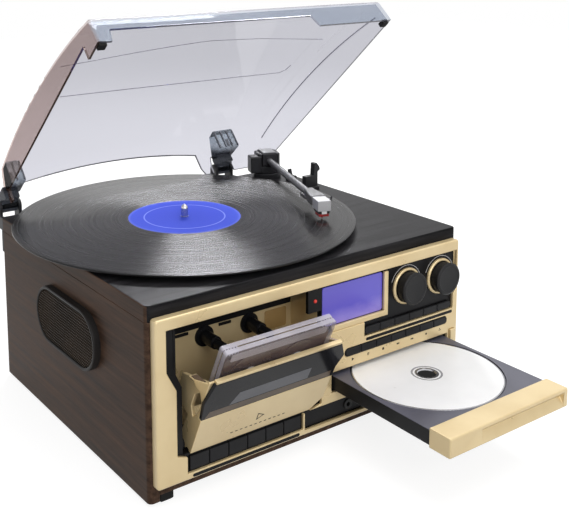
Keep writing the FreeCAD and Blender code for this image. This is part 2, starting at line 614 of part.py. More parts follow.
REEL_TIP = -127.0
reel_end = BAY_BACK - REEL_TIP - 0.5
for name, way in (("reel_spindle_left", -1), ("reel_spindle_right", 1)):
    hub_x = TAPE_X + way * HUB_SPACING / 2
    well = well.cut(drum_y(hub_x, hub_z, REEL_SHAFT + RUN_CLEAR, BAY_BACK, DRIVE_REAR))
    reel = drum_y(hub_x, hub_z, REEL_SHAFT, REEL_TIP + 4, BAY_BACK + 14)
    reel = reel.fuse(turned([(0, 0), (2, 0), (REEL_RADIUS, 2.5), (REEL_RADIUS, 13), (REEL_FOOT, 13), (REEL_FOOT, reel_end),
                             (0, reel_end)],
                            (hub_x, REEL_TIP, hub_z), (0, 1, 0)))
    for turn in range(3):
        tooth = box(hub_x - 0.6, hub_x + 0.6, REEL_TIP + 2, REEL_TIP + 9, hub_z, hub_z + 4.1)
        tooth.rotate(V(hub_x, 0, hub_z), V(0, 1, 0), turn * 120)
        reel = reel.fuse(tooth)
    save(name, reel.removeSplitter())
save("cassette_well", well.removeSplitter())

# Cassette door: gold lower front, cheeks that hold the cassette, a shelf and a lip behind the window.
door_rear = BEZEL_FRONT + DOOR_SKIN
cheek_rear = door_rear + CHEEK_DEPTH
CORNER = 10.0
face = [(DOOR_LEFT, DOOR_BOTTOM), (DOOR_RIGHT - CORNER, DOOR_BOTTOM), (DOOR_RIGHT, DOOR_BOTTOM + CORNER)]
face += [(DOOR_RIGHT, DOOR_SPLIT), (DOOR_LEFT, DOOR_SPLIT)]
door = sheet_y(face, BEZEL_FRONT, door_rear)
HEX_TALL = 12.0
HEX_WIDE = 4.6
HEX_IN = 6.5
HEX_DROP = 28.0
ARM_DEPTH = 14.0
hole_y = door_rear + HEX_IN
hole_z = DOOR_TOP - HEX_DROP
side_form = [(door_rear, DOOR_BOTTOM + 1), (door_rear + ARM_DEPTH, DOOR_BOTTOM + 1)]
side_form += [(door_rear + ARM_DEPTH - 2, DOOR_TOP - CHEEK_FOOT - 2), (cheek_rear, DOOR_TOP - CHEEK_FOOT)]
side_form += [(cheek_rear, DOOR_TOP - CHEEK_FALL), (door_rear, DOOR_TOP)]
for x0, x1 in ((DOOR_LEFT, DOOR_LEFT + DOOR_SKIN), (DOOR_RIGHT - DOOR_SKIN, DOOR_RIGHT)):
    cheek = sheet_x(side_form, x0, x1)
    hexagon = [(hole_y - HEX_WIDE, hole_z - HEX_TALL / 2), (hole_y, hole_z - HEX_TALL)]
    hexagon += [(hole_y + HEX_WIDE, hole_z - HEX_TALL / 2), (hole_y + HEX_WIDE, hole_z + HEX_TALL / 2)]
    hexagon += [(hole_y, hole_z + HEX_TALL), (hole_y - HEX_WIDE, hole_z + HEX_TALL / 2)]
    cheek = cheek.cut(sheet_x(hexagon, x0, x1))
    door = door.fuse(cheek).fuse(drum_x(DOOR_HINGE_Y, DOOR_HINGE_Z, BOSS_RADIUS - 0.5, x0, x1))
shelf_top = TAPE_TOP - TAPE_TALL
SHELF_THICK = 2.0
LIP_TALL = 2.5
LIP_DEEP = 1.8
door = door.fuse(box(DOOR_LEFT, DOOR_RIGHT, door_rear, door_rear + SHELF_DEPTH, shelf_top - SHELF_THICK, shelf_top))
door = door.fuse(box(DOOR_LEFT, DOOR_RIGHT, door_rear, door_rear + LIP_DEEP, DOOR_TOP - LIP_TALL, DOOR_TOP))
door = door.fuse(drum_x(DOOR_HINGE_Y, DOOR_HINGE_Z, PIN_RADIUS, BAY_LEFT + 1.5, DOOR_LEFT))
door = door.fuse(drum_x(DOOR_HINGE_Y, DOOR_HINGE_Z, PIN_RADIUS, DOOR_RIGHT, BAY_RIGHT + BAY_WALL - 0.4))
save("cassette_door", turn_x(door.removeSplitter(), DOOR_HINGE_Y, DOOR_HINGE_Z, DOOR_OPEN))

WING = DOOR_RIGHT + 5
pane = [(DOOR_LEFT, DOOR_SPLIT), (DOOR_RIGHT + 0.5, DOOR_SPLIT), (DOOR_RIGHT + 0.5, WING_FOOT + 1)]
pane += [(WING, SHELF_TOP + 2), (DOOR_RIGHT - 2, DOOR_TOP), (DOOR_LEFT + 3, DOOR_TOP)]
pane += [(DOOR_LEFT - 2, (DOOR_SPLIT + DOOR_TOP) / 2)]
glass = sheet_y(pane, BEZEL_FRONT, door_rear)
save("door_window", turn_x(glass, DOOR_HINGE_Y, DOOR_HINGE_Z, DOOR_OPEN))

# Cassette: standard shell drawn as six blocks that meet on the hubs' centre lines, with thicker lower plates.
tape_low = TAPE_TOP - TAPE_TALL
half_tape = TAPE_WIDTH / 2
half_slab = TAPE_SLAB / 2
shell = box(TAPE_X - half_tape, TAPE_X + half_tape, TAPE_Y - half_slab, TAPE_Y + half_slab, tape_low, TAPE_TOP)
shell = soften(shell, 2, lambda c, b: b.YLength > 1)
hub_line = [TAPE_X - HUB_SPACING / 2, TAPE_X + HUB_SPACING / 2]
for hub_x in hub_line:
    shell = shell.cut(drum_y(hub_x, hub_z, HUB_BORE, TAPE_Y - half_slab, TAPE_Y + half_slab))
columns = [TAPE_X - half_tape] + hub_line + [TAPE_X + half_tape]
tape_blocks = []
for x0, x1 in zip(columns, columns[1:]):
    for z0, z1 in ((tape_low, hub_z), (hub_z, TAPE_TOP)):
        tape_blocks.append(shell.common(box(x0, x1, TAPE_Y - half_slab, TAPE_Y + half_slab, z0, z1)))
THICK_TOP = 15.5
THICK_HALF = 34.0
thick = [(TAPE_X - THICK_HALF, tape_low), (TAPE_X + THICK_HALF, tape_low)]
thick += [(TAPE_X + THICK_HALF - 3, tape_low + THICK_TOP), (TAPE_X - THICK_HALF + 3, tape_low + THICK_TOP)]
tape_blocks.append(sheet_y(thick, TAPE_Y - TAPE_HEAD / 2, TAPE_Y - half_slab))
tape_blocks.append(sheet_y(thick, TAPE_Y + half_slab, TAPE_Y + TAPE_HEAD / 2))
save("cassette", group([turn_x(block, DOOR_HINGE_Y, DOOR_HINGE_Z, DOOR_OPEN) for block in tape_blocks]))

# Disc drawer: a tray on side ledges with a round seat, a gold front with a finger scoop, and the disc.
drawer_rear = DRAWER_FRONT + FRONT_DEPTH
disc_y = drawer_rear + 3.5 + DISC_RADIUS
tray_half = TRAY_WIDTH / 2
tray_end = drawer_rear + TRAY_LENGTH
RAIL_WIDTH = 6.0
SEAT_CLEAR = 1.0
seat = TRAY_TOP - DISC_SEAT
tray = box(DISC_X - tray_half, DISC_X + tray_half, drawer_rear, tray_end, TRAY_RAIL, TRAY_TOP)
tray = tray.cut(box(DISC_X - tray_half + RAIL_WIDTH, DISC_X + tray_half - RAIL_WIDTH, drawer_rear + 4, tray_end,
                    TRAY_RAIL, seat - TRAY_FLOOR))
tray = tray.cut(drum_z(DISC_X, disc_y, DISC_RADIUS + SEAT_CLEAR, seat, TRAY_TOP))
PICKUP_HALF = 16.0
pickup_side = (DISC_X - PICKUP_HALF, DISC_X + PICKUP_HALF)
tray = tray.cut(box(*pickup_side, disc_y - PICKUP_HALF, disc_y + 50, TRAY_RAIL, TRAY_TOP))
front = box(DISC_X - FRONT_WIDTH / 2, DISC_X + FRONT_WIDTH / 2, DRAWER_FRONT, drawer_rear, FRONT_BOTTOM, FRONT_TOP)
front = soften(front, 1.5, lambda c, b: c.y < DRAWER_FRONT + 0.1)
SCOOP_LIP = 2.5
SCOOP_DEEPEST = 6.5
scoop_x = DISC_X - FRONT_WIDTH / 2 + SCOOP_LEFT
scoop_end = DISC_X + FRONT_WIDTH / 2 - 5
scoop_shape = [(DRAWER_FRONT, FRONT_TOP - SCOOP_LIP), (DRAWER_FRONT + SCOOP_DEPTH, FRONT_TOP - SCOOP_DEEPEST)]
scoop_shape.append((DRAWER_FRONT, FRONT_BOTTOM + 2))
front = front.cut(sheet_x(scoop_shape, scoop_x, scoop_end))
disc = drum_z(DISC_X, disc_y, DISC_RADIUS, seat, seat + DISC_THICK)
disc = disc.cut(drum_z(DISC_X, disc_y, DISC_HOLE, seat, seat + DISC_THICK))
for name, shape in (("disc_tray", tray), ("tray_front", front), ("compact_disc", disc)):
    shape.translate(V(0, -DRAWER_TRAVEL, 0))
    save(name, shape)

# Disc drive: base on four legs, ledges for the tray, and a bridge with the clamp over the closed disc.
LEDGE = 8.0
LOADER_WALL = 3.0
SLIDE_GAP = 0.3
loader_half = tray_half + SLIDE_GAP
base_low = FRONT_BOTTOM - 7
base_top = base_low + 3
loader_front = drawer_rear + 0.5
loader_rear = tray_end + 5
out = loader_half + LOADER_WALL
loader = box(DISC_X - out, DISC_X + out, loader_front, loader_rear, base_low, base_top)
for way in (-1, 1):
    x0, x1 = sorted((DISC_X + way * loader_half, DISC_X + way * out))
    loader = loader.fuse(box(x0, x1, loader_front, loader_rear, base_top, TRAY_RAIL + 7))
    loader = loader.fuse(box(x0, x1, disc_y - 12, disc_y + 12, base_top, FRONT_TOP + 7))
    x0, x1 = sorted((DISC_X + way * (loader_half - LEDGE), DISC_X + way * loader_half))
    loader = loader.fuse(box(x0, x1, loader_front, loader_rear, base_top, TRAY_RAIL - SLIDE_GAP))
    for leg_y in (loader_front + 8, loader_rear - 8):
        loader = loader.fuse(drum_z(DISC_X + way * (out - 6), leg_y, 5, FLOOR_TOP, base_low))
loader = loader.fuse(box(DISC_X - out, DISC_X + out, disc_y - 12, disc_y + 12, FRONT_TOP + 4, FRONT_TOP + 7))
loader = loader.fuse(drum_z(DISC_X, disc_y, 14, FRONT_TOP + 1, FRONT_TOP + 4))
loader = loader.fuse(drum_z(DISC_X, disc_y, 13, base_top, TRAY_RAIL - 1))
save("disc_drive", loader.removeSplitter())

# Turntable: belt-driven platter in a recess of the deck, its spindle in a bush, the motor beside it.
DRIVE_GAP = 0.4
drive_low = WELL_FLOOR + 1 + DRIVE_GAP
HUB_RADIUS = 12.0
COLLAR = 5.0
MAT_EDGE = 1.0
plate_shape = [(COLLAR, PLATTER_BOTTOM), (PLATTER_RADIUS, PLATTER_BOTTOM), (PLATTER_RADIUS, RECORD_UNDER - MAT_EDGE)]
plate_shape += [(PLATTER_RADIUS - MAT_EDGE, RECORD_UNDER), (COLLAR, RECORD_UNDER)]
hub_shape = [(COLLAR, drive_low), (HUB_RADIUS, drive_low), (HUB_RADIUS, PLATTER_BOTTOM), (COLLAR, PLATTER_BOTTOM)]
drive_ring = [(DRIVE_RADIUS - 5, drive_low), (DRIVE_RADIUS, drive_low), (DRIVE_RADIUS, PLATTER_BOTTOM)]
drive_ring.append((DRIVE_RADIUS - 5, PLATTER_BOTTOM))
platter_shapes = (plate_shape, hub_shape, drive_ring)
save("platter", group([turned(shape, (SPIN_X, SPIN_Y, 0), (0, 0, 1)) for shape in platter_shapes]))

spindle_top = RECORD_TOP + SPINDLE_RISE
bush_low = DECK_UNDER - 20
spindle_shape = [(0, bush_low + 1), (SHAFT_RADIUS, bush_low + 1), (SHAFT_RADIUS, drive_low), (COLLAR, drive_low)]
spindle_shape += [(COLLAR, RECORD_UNDER), (SPINDLE_RADIUS, RECORD_UNDER), (SPINDLE_RADIUS, RECORD_TOP + 0.2)]
spindle_shape += [(FREE_RADIUS, RECORD_TOP + 0.2), (FREE_RADIUS, spindle_top - 4)]
spindle_shape += [(FREE_RADIUS - 0.8, spindle_top - 1.5), (1.4, spindle_top), (0, spindle_top)]
save("record_spindle", turned(spindle_shape, (SPIN_X, SPIN_Y, 0), (0, 0, 1)))

LABEL_DIP = 0.3
disc_edge = RECORD_TOP - 0.4
record_shape = [(SPINDLE_RADIUS + RUN_CLEAR, RECORD_UNDER), (RECORD_RADIUS - 0.5, RECORD_UNDER)]
record_shape += [(RECORD_RADIUS, RECORD_UNDER + 0.6), (RECORD_RADIUS, disc_edge), (RECORD_RADIUS - 0.6, RECORD_TOP)]
record_shape += [(LABEL_RADIUS + 2, RECORD_TOP), (LABEL_RADIUS, RECORD_TOP - LABEL_DIP)]
record_shape += [(SPINDLE_RADIUS + RUN_CLEAR, RECORD_TOP - LABEL_DIP)]
save("record", turned(record_shape, (SPIN_X, SPIN_Y, 0), (0, 0, 1)))

PLATE_THICK = 3.0
plate_low = DECK_UNDER - PLATE_THICK
drive_plate = drum_z(SPIN_X, SPIN_Y, 18, plate_low, DECK_UNDER)
drive_plate = drive_plate.fuse(drum_z(motor_x, motor_y, MOTOR_RADIUS + 6, plate_low, DECK_UNDER))
strap = box(SPIN_X, SPIN_X + MOTOR_REACH, SPIN_Y - 12, SPIN_Y + 12, plate_low, DECK_UNDER)
strap.rotate(V(SPIN_X, SPIN_Y, 0), V(0, 0, 1), MOTOR_ANGLE)
drive_plate = drive_plate.fuse(strap)
drive_plate = drive_plate.fuse(drum_z(SPIN_X, SPIN_Y, BUSH_RADIUS, bush_low, WELL_FLOOR + 1))
drive_plate = drive_plate.fuse(drum_z(motor_x, motor_y, MOTOR_RADIUS, plate_low - MOTOR_TALL, plate_low))
MOTOR_SHAFT = 1.5
drive_plate = drive_plate.cut(drum_z(SPIN_X, SPIN_Y, SHAFT_RADIUS + RUN_CLEAR, bush_low, WELL_FLOOR + 1))
drive_plate = drive_plate.cut(drum_z(motor_x, motor_y, MOTOR_SHAFT + RUN_CLEAR, plate_low - 12, DECK_UNDER))
save("turntable_motor", drive_plate.removeSplitter())

belt_low = drive_low + 0.8
belt_high = PLATTER_BOTTOM - 0.8
pulley = drum_z(motor_x, motor_y, PULLEY_RADIUS, belt_low - 0.4, belt_high + 0.4)
pulley = pulley.fuse(drum_z(motor_x, motor_y, MOTOR_SHAFT, plate_low - 11, belt_low))
save("motor_pulley", pulley)


def belt_loop(extra):
    # The area inside two circles and the straight runs that touch both.
    r1 = DRIVE_RADIUS + BELT_CLEAR + extra
    r2 = PULLEY_RADIUS + BELT_CLEAR + extra
    lean = math.asin((r1 - r2) / MOTOR_REACH)
    across = math.cos(lean)
    along = math.sin(lean)
    corners = [(r1 * along, r1 * across), (MOTOR_REACH + r2 * along, r2 * across)]
    corners += [(x, -y) for x, y in reversed(corners)]
    web = sheet_z(corners, belt_low, belt_high)
    loop = web.fuse([drum_z(0, 0, r1, belt_low, belt_high), drum_z(MOTOR_REACH, 0, r2, belt_low, belt_high)])
    loop.rotate(V(0, 0, 0), V(0, 0, 1), MOTOR_ANGLE)
    loop.translate(V(SPIN_X, SPIN_Y, 0))
    return loop


save("drive_belt", belt_loop(BELT_THICK).cut(belt_loop(0)).removeSplitter())

# Tonearm: a swivel yoke on the base post, the tube with its headshell tilting in the yoke, the cartridge.
POST = 3.0
BASE_TOP = DECK_TOP + 6
post_top = BASE_TOP + 6
yoke_low = BASE_TOP + SLIDE_GAP
stand = drum_z(ARM_X, ARM_Y, STAND_RADIUS, DECK_TOP, BASE_TOP).fuse(drum_z(ARM_X, ARM_Y, POST, BASE_TOP, post_top))
parked_x = ARM_X
CRADLE = ARM_Z - TUBE_RADIUS - 1
PRONG = (5.0, 10.5)
rest = box(parked_x - 6, parked_x + 12, REST_Y - 4, REST_Y + 4, DECK_TOP, DECK_TOP + 3)
rest = rest.fuse(box(parked_x - 5, parked_x + PRONG[1], REST_Y - 3, REST_Y + 3, DECK_TOP + 3, CRADLE))
prong_side = [(parked_x + PRONG[0], CRADLE - 4), (parked_x + PRONG[1], CRADLE - 4)]
prong_side += [(parked_x + PRONG[1], ARM_Z - 1), (parked_x + PRONG[1] + 3, ARM_Z + 1)]
prong_side += [(parked_x + PRONG[1] + 2, ARM_Z + 4), (parked_x + PRONG[1] - 1, ARM_Z + 8)]
prong_side += [(parked_x + PRONG[0] + 1, ARM_Z + 8)]
rest = rest.fuse(sheet_y(prong_side, REST_Y - 3, REST_Y + 3))
CUE_X = ARM_X + 11
CUE_Y = 80.0
CUE_Z = 153.0
CUE_PIN = 1.2
cue_block = box(CUE_X - 4.5, CUE_X + 4.5, CUE_Y - 4, CUE_Y + 4, DECK_TOP, CUE_Z + 2)
cue_block = cue_block.cut(box(CUE_X - 1.9, CUE_X + 1.9, CUE_Y - 4, CUE_Y + 4, DECK_TOP + SLIDE_GAP, CUE_Z + 2))
cue_block = cue_block.cut(drum_x(CUE_Y, CUE_Z, CUE_PIN + RUN_CLEAR, CUE_X - 4.5, CUE_X + 4.5))
save("tonearm_base", group([stand, rest.removeSplitter(), cue_block]))

CUE_TALL = 9.0
CUE_LEAN = 20.0
lever = box(CUE_X - 1.5, CUE_X + 1.5, CUE_Y - 1.6, CUE_Y + 1.6, CUE_Z, CUE_Z + CUE_TALL)
lever = turn_x(lever, CUE_Y, CUE_Z, -CUE_LEAN).fuse(drum_x(CUE_Y, CUE_Z, 2.4, CUE_X - 1.5, CUE_X + 1.5))
save("cue_lever", lever.fuse(drum_x(CUE_Y, CUE_Z, CUE_PIN, CUE_X - 4, CUE_X + 4)).removeSplitter())


def to_arm(shape):
    # Pieces of the arm are drawn along -Y at the origin, then swung and carried to the pivot.
    shape.rotate(V(0, 0, 0), V(0, 0, 1), ARM_ANGLE)
    shape.translate(V(ARM_X, ARM_Y, 0))
    return shape


SLOT_HALF = 8.2
BODY_HALF = 7.7
POD_REACH = 8.5
POD_REAR = 3.0
POD_TOP = YOKE_TOP - 2.5
yoke = box(-YOKE_HALF, YOKE_HALF, -YOKE_FRONT, YOKE_REAR, yoke_low, YOKE_TOP)
yoke = soften(yoke, YOKE_ROUND, lambda c, b: b.ZLength > 1)
yoke = soften(yoke, 1.5, lambda c, b: c.z > YOKE_TOP - 0.1)
pod = box(-YOKE_HALF - POD_REACH, -SLOT_HALF - 1, -YOKE_FRONT, POD_REAR, yoke_low + 1, POD_TOP)
yoke = yoke.fuse(soften(pod, 1.5, lambda c, b: c.z > POD_TOP - 0.1))
yoke = yoke.cut(box(-SLOT_HALF, SLOT_HALF, -YOKE_FRONT, YOKE_REAR, post_top + 1.5, YOKE_TOP))
yoke = yoke.cut(drum_z(0, 0, POST + RUN_CLEAR, yoke_low, post_top + 0.3))
yoke = yoke.cut(drum_x(0, ARM_Z, ARM_PIN + RUN_CLEAR, -YOKE_HALF - POD_REACH + 1, YOKE_HALF)).removeSplitter()
save("arm_yoke", to_arm(yoke))

TUBE_END = ARM_REACH - 30
SHELL_TOP = ARM_Z + 5
SHELL_LOW = ARM_Z - 3
SHELL_HALF = 7.0
CART_FRONT = ARM_REACH + 7
CART_REAR = ARM_REACH - 9
arm = rod((0, -8, ARM_Z), (0, -TUBE_END, ARM_Z), TUBE_RADIUS)
body_top = YOKE_TOP + 1
body = box(-BODY_HALF, BODY_HALF, -YOKE_FRONT, YOKE_REAR, post_top + 2.5, body_top)
body = soften(body, 2, lambda c, b: c.z > body_top - 0.1)
arm = arm.fuse(body).fuse(drum_x(0, ARM_Z, ARM_PIN, -YOKE_HALF - 1, YOKE_HALF - 1))
shell_plan = [(-4, -TUBE_END + 8), (4, -TUBE_END + 8), (SHELL_HALF, -TUBE_END - 12), (SHELL_HALF, -CART_REAR)]
shell_plan += [(-SHELL_HALF, -CART_REAR), (-SHELL_HALF, -TUBE_END - 12)]
head = sheet_z(shell_plan, SHELL_LOW, SHELL_TOP)
head = soften(head, 1.5, lambda c, b: c.z > SHELL_TOP - 0.1)
finger = box(SHELL_HALF - 1, SHELL_HALF + 6, -CART_REAR + 1, -CART_REAR + 4.5, ARM_Z - 1, ARM_Z + 0.6)
save("tonearm", to_arm(arm.fuse(head).fuse(finger).removeSplitter()))

CART_HALF = 6.0
CART_LOW = RECORD_TOP + 4.5
TIP_GAP = 0.2
cart = box(-CART_HALF, CART_HALF, -CART_FRONT, -CART_REAR, CART_LOW, SHELL_TOP - 0.5)
cart = soften(cart, 1.2, lambda c, b: c.y < -CART_FRONT + 0.1)
cart = cart.fuse(box(-2.5, 2.5, -CART_FRONT + 3, -CART_REAR - 3, CART_LOW - 2.2, CART_LOW))
tip = Part.makeCone(0.2, 1.2, CART_LOW - 2.2 - RECORD_TOP - TIP_GAP, V(0, -ARM_REACH, RECORD_TOP + TIP_GAP))
save("cartridge", to_arm(cart.fuse(tip).removeSplitter()))

# Dust cover: a curved clear shell, open below, with cut-outs where the record sticks out of the cabinet.
half_lid = LID_WIDTH / 2
FRONT_LEAN = 2.7


def lid_form(inset):
    # Side profile of the cover, extruded across; inset draws the inner face.
    front_y = LID_FRONT + inset
    rear_y = LID_REAR - inset
    side_x = -half_lid + inset
    base = [V(side_x, front_y, LID_BASE), V(side_x, front_y + FRONT_LEAN, LID_FRONT_TOP - inset)]
    crown = V(side_x, LID_CROWN_Y, LID_CROWN - inset)
    shoulder = V(side_x, LID_SHOULDER_Y - inset * 0.7, LID_SHOULDER_Z - inset)
    heel = V(side_x, rear_y, LID_HEEL - inset * 0.5)
    foot = V(side_x, rear_y, LID_BASE)
    lines = [Part.makeLine(base[0], base[1]), Part.Arc(base[1], crown, shoulder).toShape()]
    lines += [Part.makeLine(shoulder, heel), Part.makeLine(heel, foot), Part.makeLine(foot, base[0])]
    return Part.Face(Part.Wire(lines)).extrude(V(LID_WIDTH - 2 * inset, 0, 0))


lid_outer = lid_form(0)
lid_outer = soften(lid_outer, 4, lambda c, b: c.z > LID_HEEL + 5)
lid_inner = lid_form(LID_WALL)
lid = lid_outer.cut(lid_inner)
cut_top = LID_BASE + LID_CUT
LEFT_CUT = (-95.0, 121.0)
FRONT_CUT = (-half_lid + 12.5, 65.0)
SLANT = 3.0
ARCH_LEFT = -half_lid + 14.5
ARCH_RIGHT = 72.0
ARCH_FOOT = 172.5
ARCH_TOP = 179.5
lid = lid.cut(box(-half_lid, -half_lid + 6, *LEFT_CUT, LID_BASE, cut_top))
front_cut = [(FRONT_CUT[0], LID_BASE), (FRONT_CUT[1], LID_BASE), (FRONT_CUT[1] - SLANT, cut_top)]
front_cut.append((FRONT_CUT[0] + SLANT, cut_top))
lid = lid.cut(sheet_y(front_cut, LID_FRONT, LID_FRONT + 8))
arch_y = LID_SHOULDER_Y - 6
arch_ends = [V(ARCH_LEFT, arch_y, ARCH_FOOT), V(ARCH_RIGHT - 8, arch_y, ARCH_FOOT)]
arch_mid = V((ARCH_LEFT + ARCH_RIGHT - 8) / 2, arch_y, ARCH_TOP)
arch_feet = [V(ARCH_RIGHT, arch_y, LID_BASE), V(ARCH_LEFT, arch_y, LID_BASE)]
arch = [Part.Arc(arch_ends[0], arch_mid, arch_ends[1]).toShape(), Part.makeLine(arch_ends[1], arch_feet[0])]
arch += [Part.makeLine(arch_feet[0], arch_feet[1]), Part.makeLine(arch_feet[1], arch_ends[0])]
lid = lid.cut(Part.Face(Part.Wire(arch)).extrude(V(0, LID_REAR - arch_y, 0)))
ear_out = KNUCKLE_HALF + EAR_GAP + EAR_THICK
hinge_cut = ear_out + 2
hinge_rise = LID_HINGE_Z + KNUCKLE_RADIUS + 6
for hinge_x in HINGE_X:
    lid = lid.cut(box(hinge_x - hinge_cut, hinge_x + hinge_cut, LID_REAR - 14, LID_REAR, LID_BASE, hinge_rise))
lid_up = -LID_OPEN
save("dust_cover", turn_x(lid.removeSplitter(), LID_HINGE_Y, LID_HINGE_Z, lid_up))

# Hinges: brackets with a pin on the cabinet's back, and sockets inside the cover that carry the knuckles.
EAR_RADIUS = 6.0
SOCKET_FRONT = 112.0
SOCKET_LOW = 166.0
brackets = []
sockets_up = []
for hinge_x in HINGE_X:
    bracket = box(hinge_x - ear_out, hinge_x + ear_out, HALF_D, HALF_D + 4, DECK_TOP - 32, DECK_TOP)
    for way in (-1, 1):
        x0, x1 = sorted((hinge_x + way * (KNUCKLE_HALF + EAR_GAP), hinge_x + way * ear_out))
        ear = box(x0, x1, HALF_D, LID_HINGE_Y, DECK_TOP - 12, DECK_TOP)
        ear = ear.fuse(box(x0, x1, LID_HINGE_Y - EAR_RADIUS, LID_HINGE_Y + EAR_RADIUS, DECK_TOP - 12, LID_HINGE_Z))
        bracket = bracket.fuse(ear).fuse(drum_x(LID_HINGE_Y, LID_HINGE_Z, EAR_RADIUS, x0, x1))
    bracket = bracket.fuse(drum_x(LID_HINGE_Y, LID_HINGE_Z, HINGE_PIN, hinge_x - ear_out, hinge_x + ear_out))
    brackets.append(bracket.removeSplitter())
    socket = box(hinge_x - SOCKET_HALF, hinge_x + SOCKET_HALF, SOCKET_FRONT, LID_HINGE_Y - 7, SOCKET_LOW, LID_CROWN)
    socket = socket.common(lid_inner)
    web_side = (hinge_x - KNUCKLE_HALF, hinge_x + KNUCKLE_HALF)
    arm_web = box(*web_side, LID_HINGE_Y - 16, LID_HINGE_Y, LID_HINGE_Z, SOCKET_LOW + 3)
    knuckle = drum_x(LID_HINGE_Y, LID_HINGE_Z, KNUCKLE_RADIUS, *web_side)
    web = arm_web.cut(lid).fuse(knuckle)
    socket = socket.fuse(web)
    hole = drum_x(LID_HINGE_Y, LID_HINGE_Z, HINGE_PIN + RUN_CLEAR, hinge_x - SOCKET_HALF, hinge_x + SOCKET_HALF)
    sockets_up.append(turn_x(socket.cut(hole).removeSplitter(), LID_HINGE_Y, LID_HINGE_Z, lid_up))
save("hinge_brackets", group(brackets))
save("hinge_sockets", group(sockets_up))

BUMPER = 6.5
bumpers = []
for way in (-1, 1):
    x0, x1 = sorted((way * (half_lid - LID_WALL), way * (half_lid - LID_WALL - BUMPER)))
    pad = box(x0, x1, LID_FRONT + LID_WALL, LID_FRONT + LID_WALL + BUMPER, DECK_TOP + SLIDE_GAP, LID_BASE + 2.5)
    bumpers.append(turn_x(pad.cut(lid), LID_HINGE_Y, LID_HINGE_Z, lid_up))
save("lid_bumpers", group(bumpers))
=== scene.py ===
import math
import bpy
import bmesh
from mathutils import Matrix, Vector


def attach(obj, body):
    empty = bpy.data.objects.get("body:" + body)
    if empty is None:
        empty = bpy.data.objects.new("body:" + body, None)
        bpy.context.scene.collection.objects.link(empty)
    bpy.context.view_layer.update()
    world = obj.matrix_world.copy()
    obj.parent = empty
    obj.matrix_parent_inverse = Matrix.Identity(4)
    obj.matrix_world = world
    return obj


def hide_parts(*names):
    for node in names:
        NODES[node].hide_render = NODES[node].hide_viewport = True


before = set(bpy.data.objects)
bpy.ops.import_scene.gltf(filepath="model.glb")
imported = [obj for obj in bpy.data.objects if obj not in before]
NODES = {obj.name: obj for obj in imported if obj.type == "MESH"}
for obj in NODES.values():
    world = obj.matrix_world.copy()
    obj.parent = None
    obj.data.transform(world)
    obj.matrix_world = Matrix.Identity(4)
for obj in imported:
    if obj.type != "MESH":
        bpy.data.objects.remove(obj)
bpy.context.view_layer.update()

# Cabinet: two side boards glued to a base and wrapped in dark wood-grain foil. The grain runs from front to
# back, and the long edges are broken so that they catch a thin line of light.
MM = 0.001
SHARP_TURN = math.radians(34)


def place_piece(name, mesh, finishes, body, slot, *nodes):
    # Puts a finished mesh on a body of the frame; the nodes are the plain solids it stands for.
    for finish in finishes:
        mesh.materials.append(finish)
    piece = bpy.data.objects.new(name, mesh)
    bpy.context.scene.collection.objects.link(piece)
    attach(piece, body)
    if nodes:
        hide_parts(*nodes)
    return piece


def plain_mesh(carrier, modifier):
    # The mesh that an object shows with its modifier; object and modifier are then taken away.
    bpy.context.view_layer.update()
    mesh = bpy.data.meshes.new_from_object(carrier.evaluated_get(bpy.context.evaluated_depsgraph_get()))
    carrier.modifiers.remove(modifier)
    bpy.data.objects.remove(carrier)
    return mesh


def to_mesh(form, name, crease=35):
    # Turns a worked form into a mesh: smooth up to the crease angle, with its large faces kept flat.
    raw = bpy.data.meshes.new(name)
    form.to_mesh(raw)
    form.free()
    raw.shade_smooth()
    raw.set_sharp_from_angle(angle=math.radians(crease))
    carrier = bpy.data.objects.new(name, raw)
    bpy.context.scene.collection.objects.link(carrier)
    evener = carrier.modifiers.new("even_normals", "WEIGHTED_NORMAL")
    evener.keep_sharp = True
    return plain_mesh(carrier, evener)


def break_edges(form, edges, ease):
    bmesh.ops.bevel(form, geom=edges, offset=ease * MM, segments=2, profile=0.5, affect="EDGES")


def eased_form(node, ease):
    # The node's own shape, welded, with its sharp edges broken by ease millimetres.
    form = bmesh.new()
    form.from_mesh(NODES[node].data)
    bmesh.ops.remove_doubles(form, verts=form.verts, dist=2e-5)
    bmesh.ops.dissolve_limit(form, angle_limit=math.radians(0.5), verts=form.verts, edges=form.edges)
    if ease:
        sharp = [e for e in form.edges if len(e.link_faces) == 2 and e.calc_face_angle() > SHARP_TURN]
        break_edges(form, sharp, ease)
    return form


def place_eased(name, node, ease, finish, body, slot):
    # Places the eased shape of one node as the piece that stands for it.
    place_piece(name, to_mesh(eased_form(node, ease), node + "_eased"), [finish], body, slot, node)


def tree_tools(tree):
    # The node adder and the linker of a tree; an underscore in a key stands for a space in a socket's name.
    def node(kind, **values):
        made = tree.nodes.new(kind)
        for key, value in values.items():
            socket = made.inputs.get(key.replace("_", " "))
            if socket is None:
                setattr(made, key, value)
            else:
                socket.default_value = value
        return made

    def link(source, target):
        tree.links.new(source, target)

    return node, link


def new_finish(name, **values):
    # A finish with plain values on its main shader: gives back material, node adder, linker and shader.
    finish = bpy.data.materials.new(name)
    finish.use_nodes = True
    shader = finish.node_tree.nodes["Principled BSDF"]
    for key, value in values.items():
        shader.inputs[key.replace("_", " ")].default_value = value
    return finish, *tree_tools(finish.node_tree), shader


def grain_map(node, link, scale, detail, rough, stretch=(1.0, 1.0, 1.0)):
    # Noise laid over the piece in its own place, drawn out along the axes by stretch.
    place = node("ShaderNodeTexCoord")
    pull = node("ShaderNodeMapping", Scale=stretch)
    noise = node("ShaderNodeTexNoise", Scale=scale, Detail=detail, Roughness=rough)
    link(place.outputs["Object"], pull.inputs["Vector"])
    link(pull.outputs["Vector"], noise.inputs["Vector"])
    return noise.outputs["Fac"]


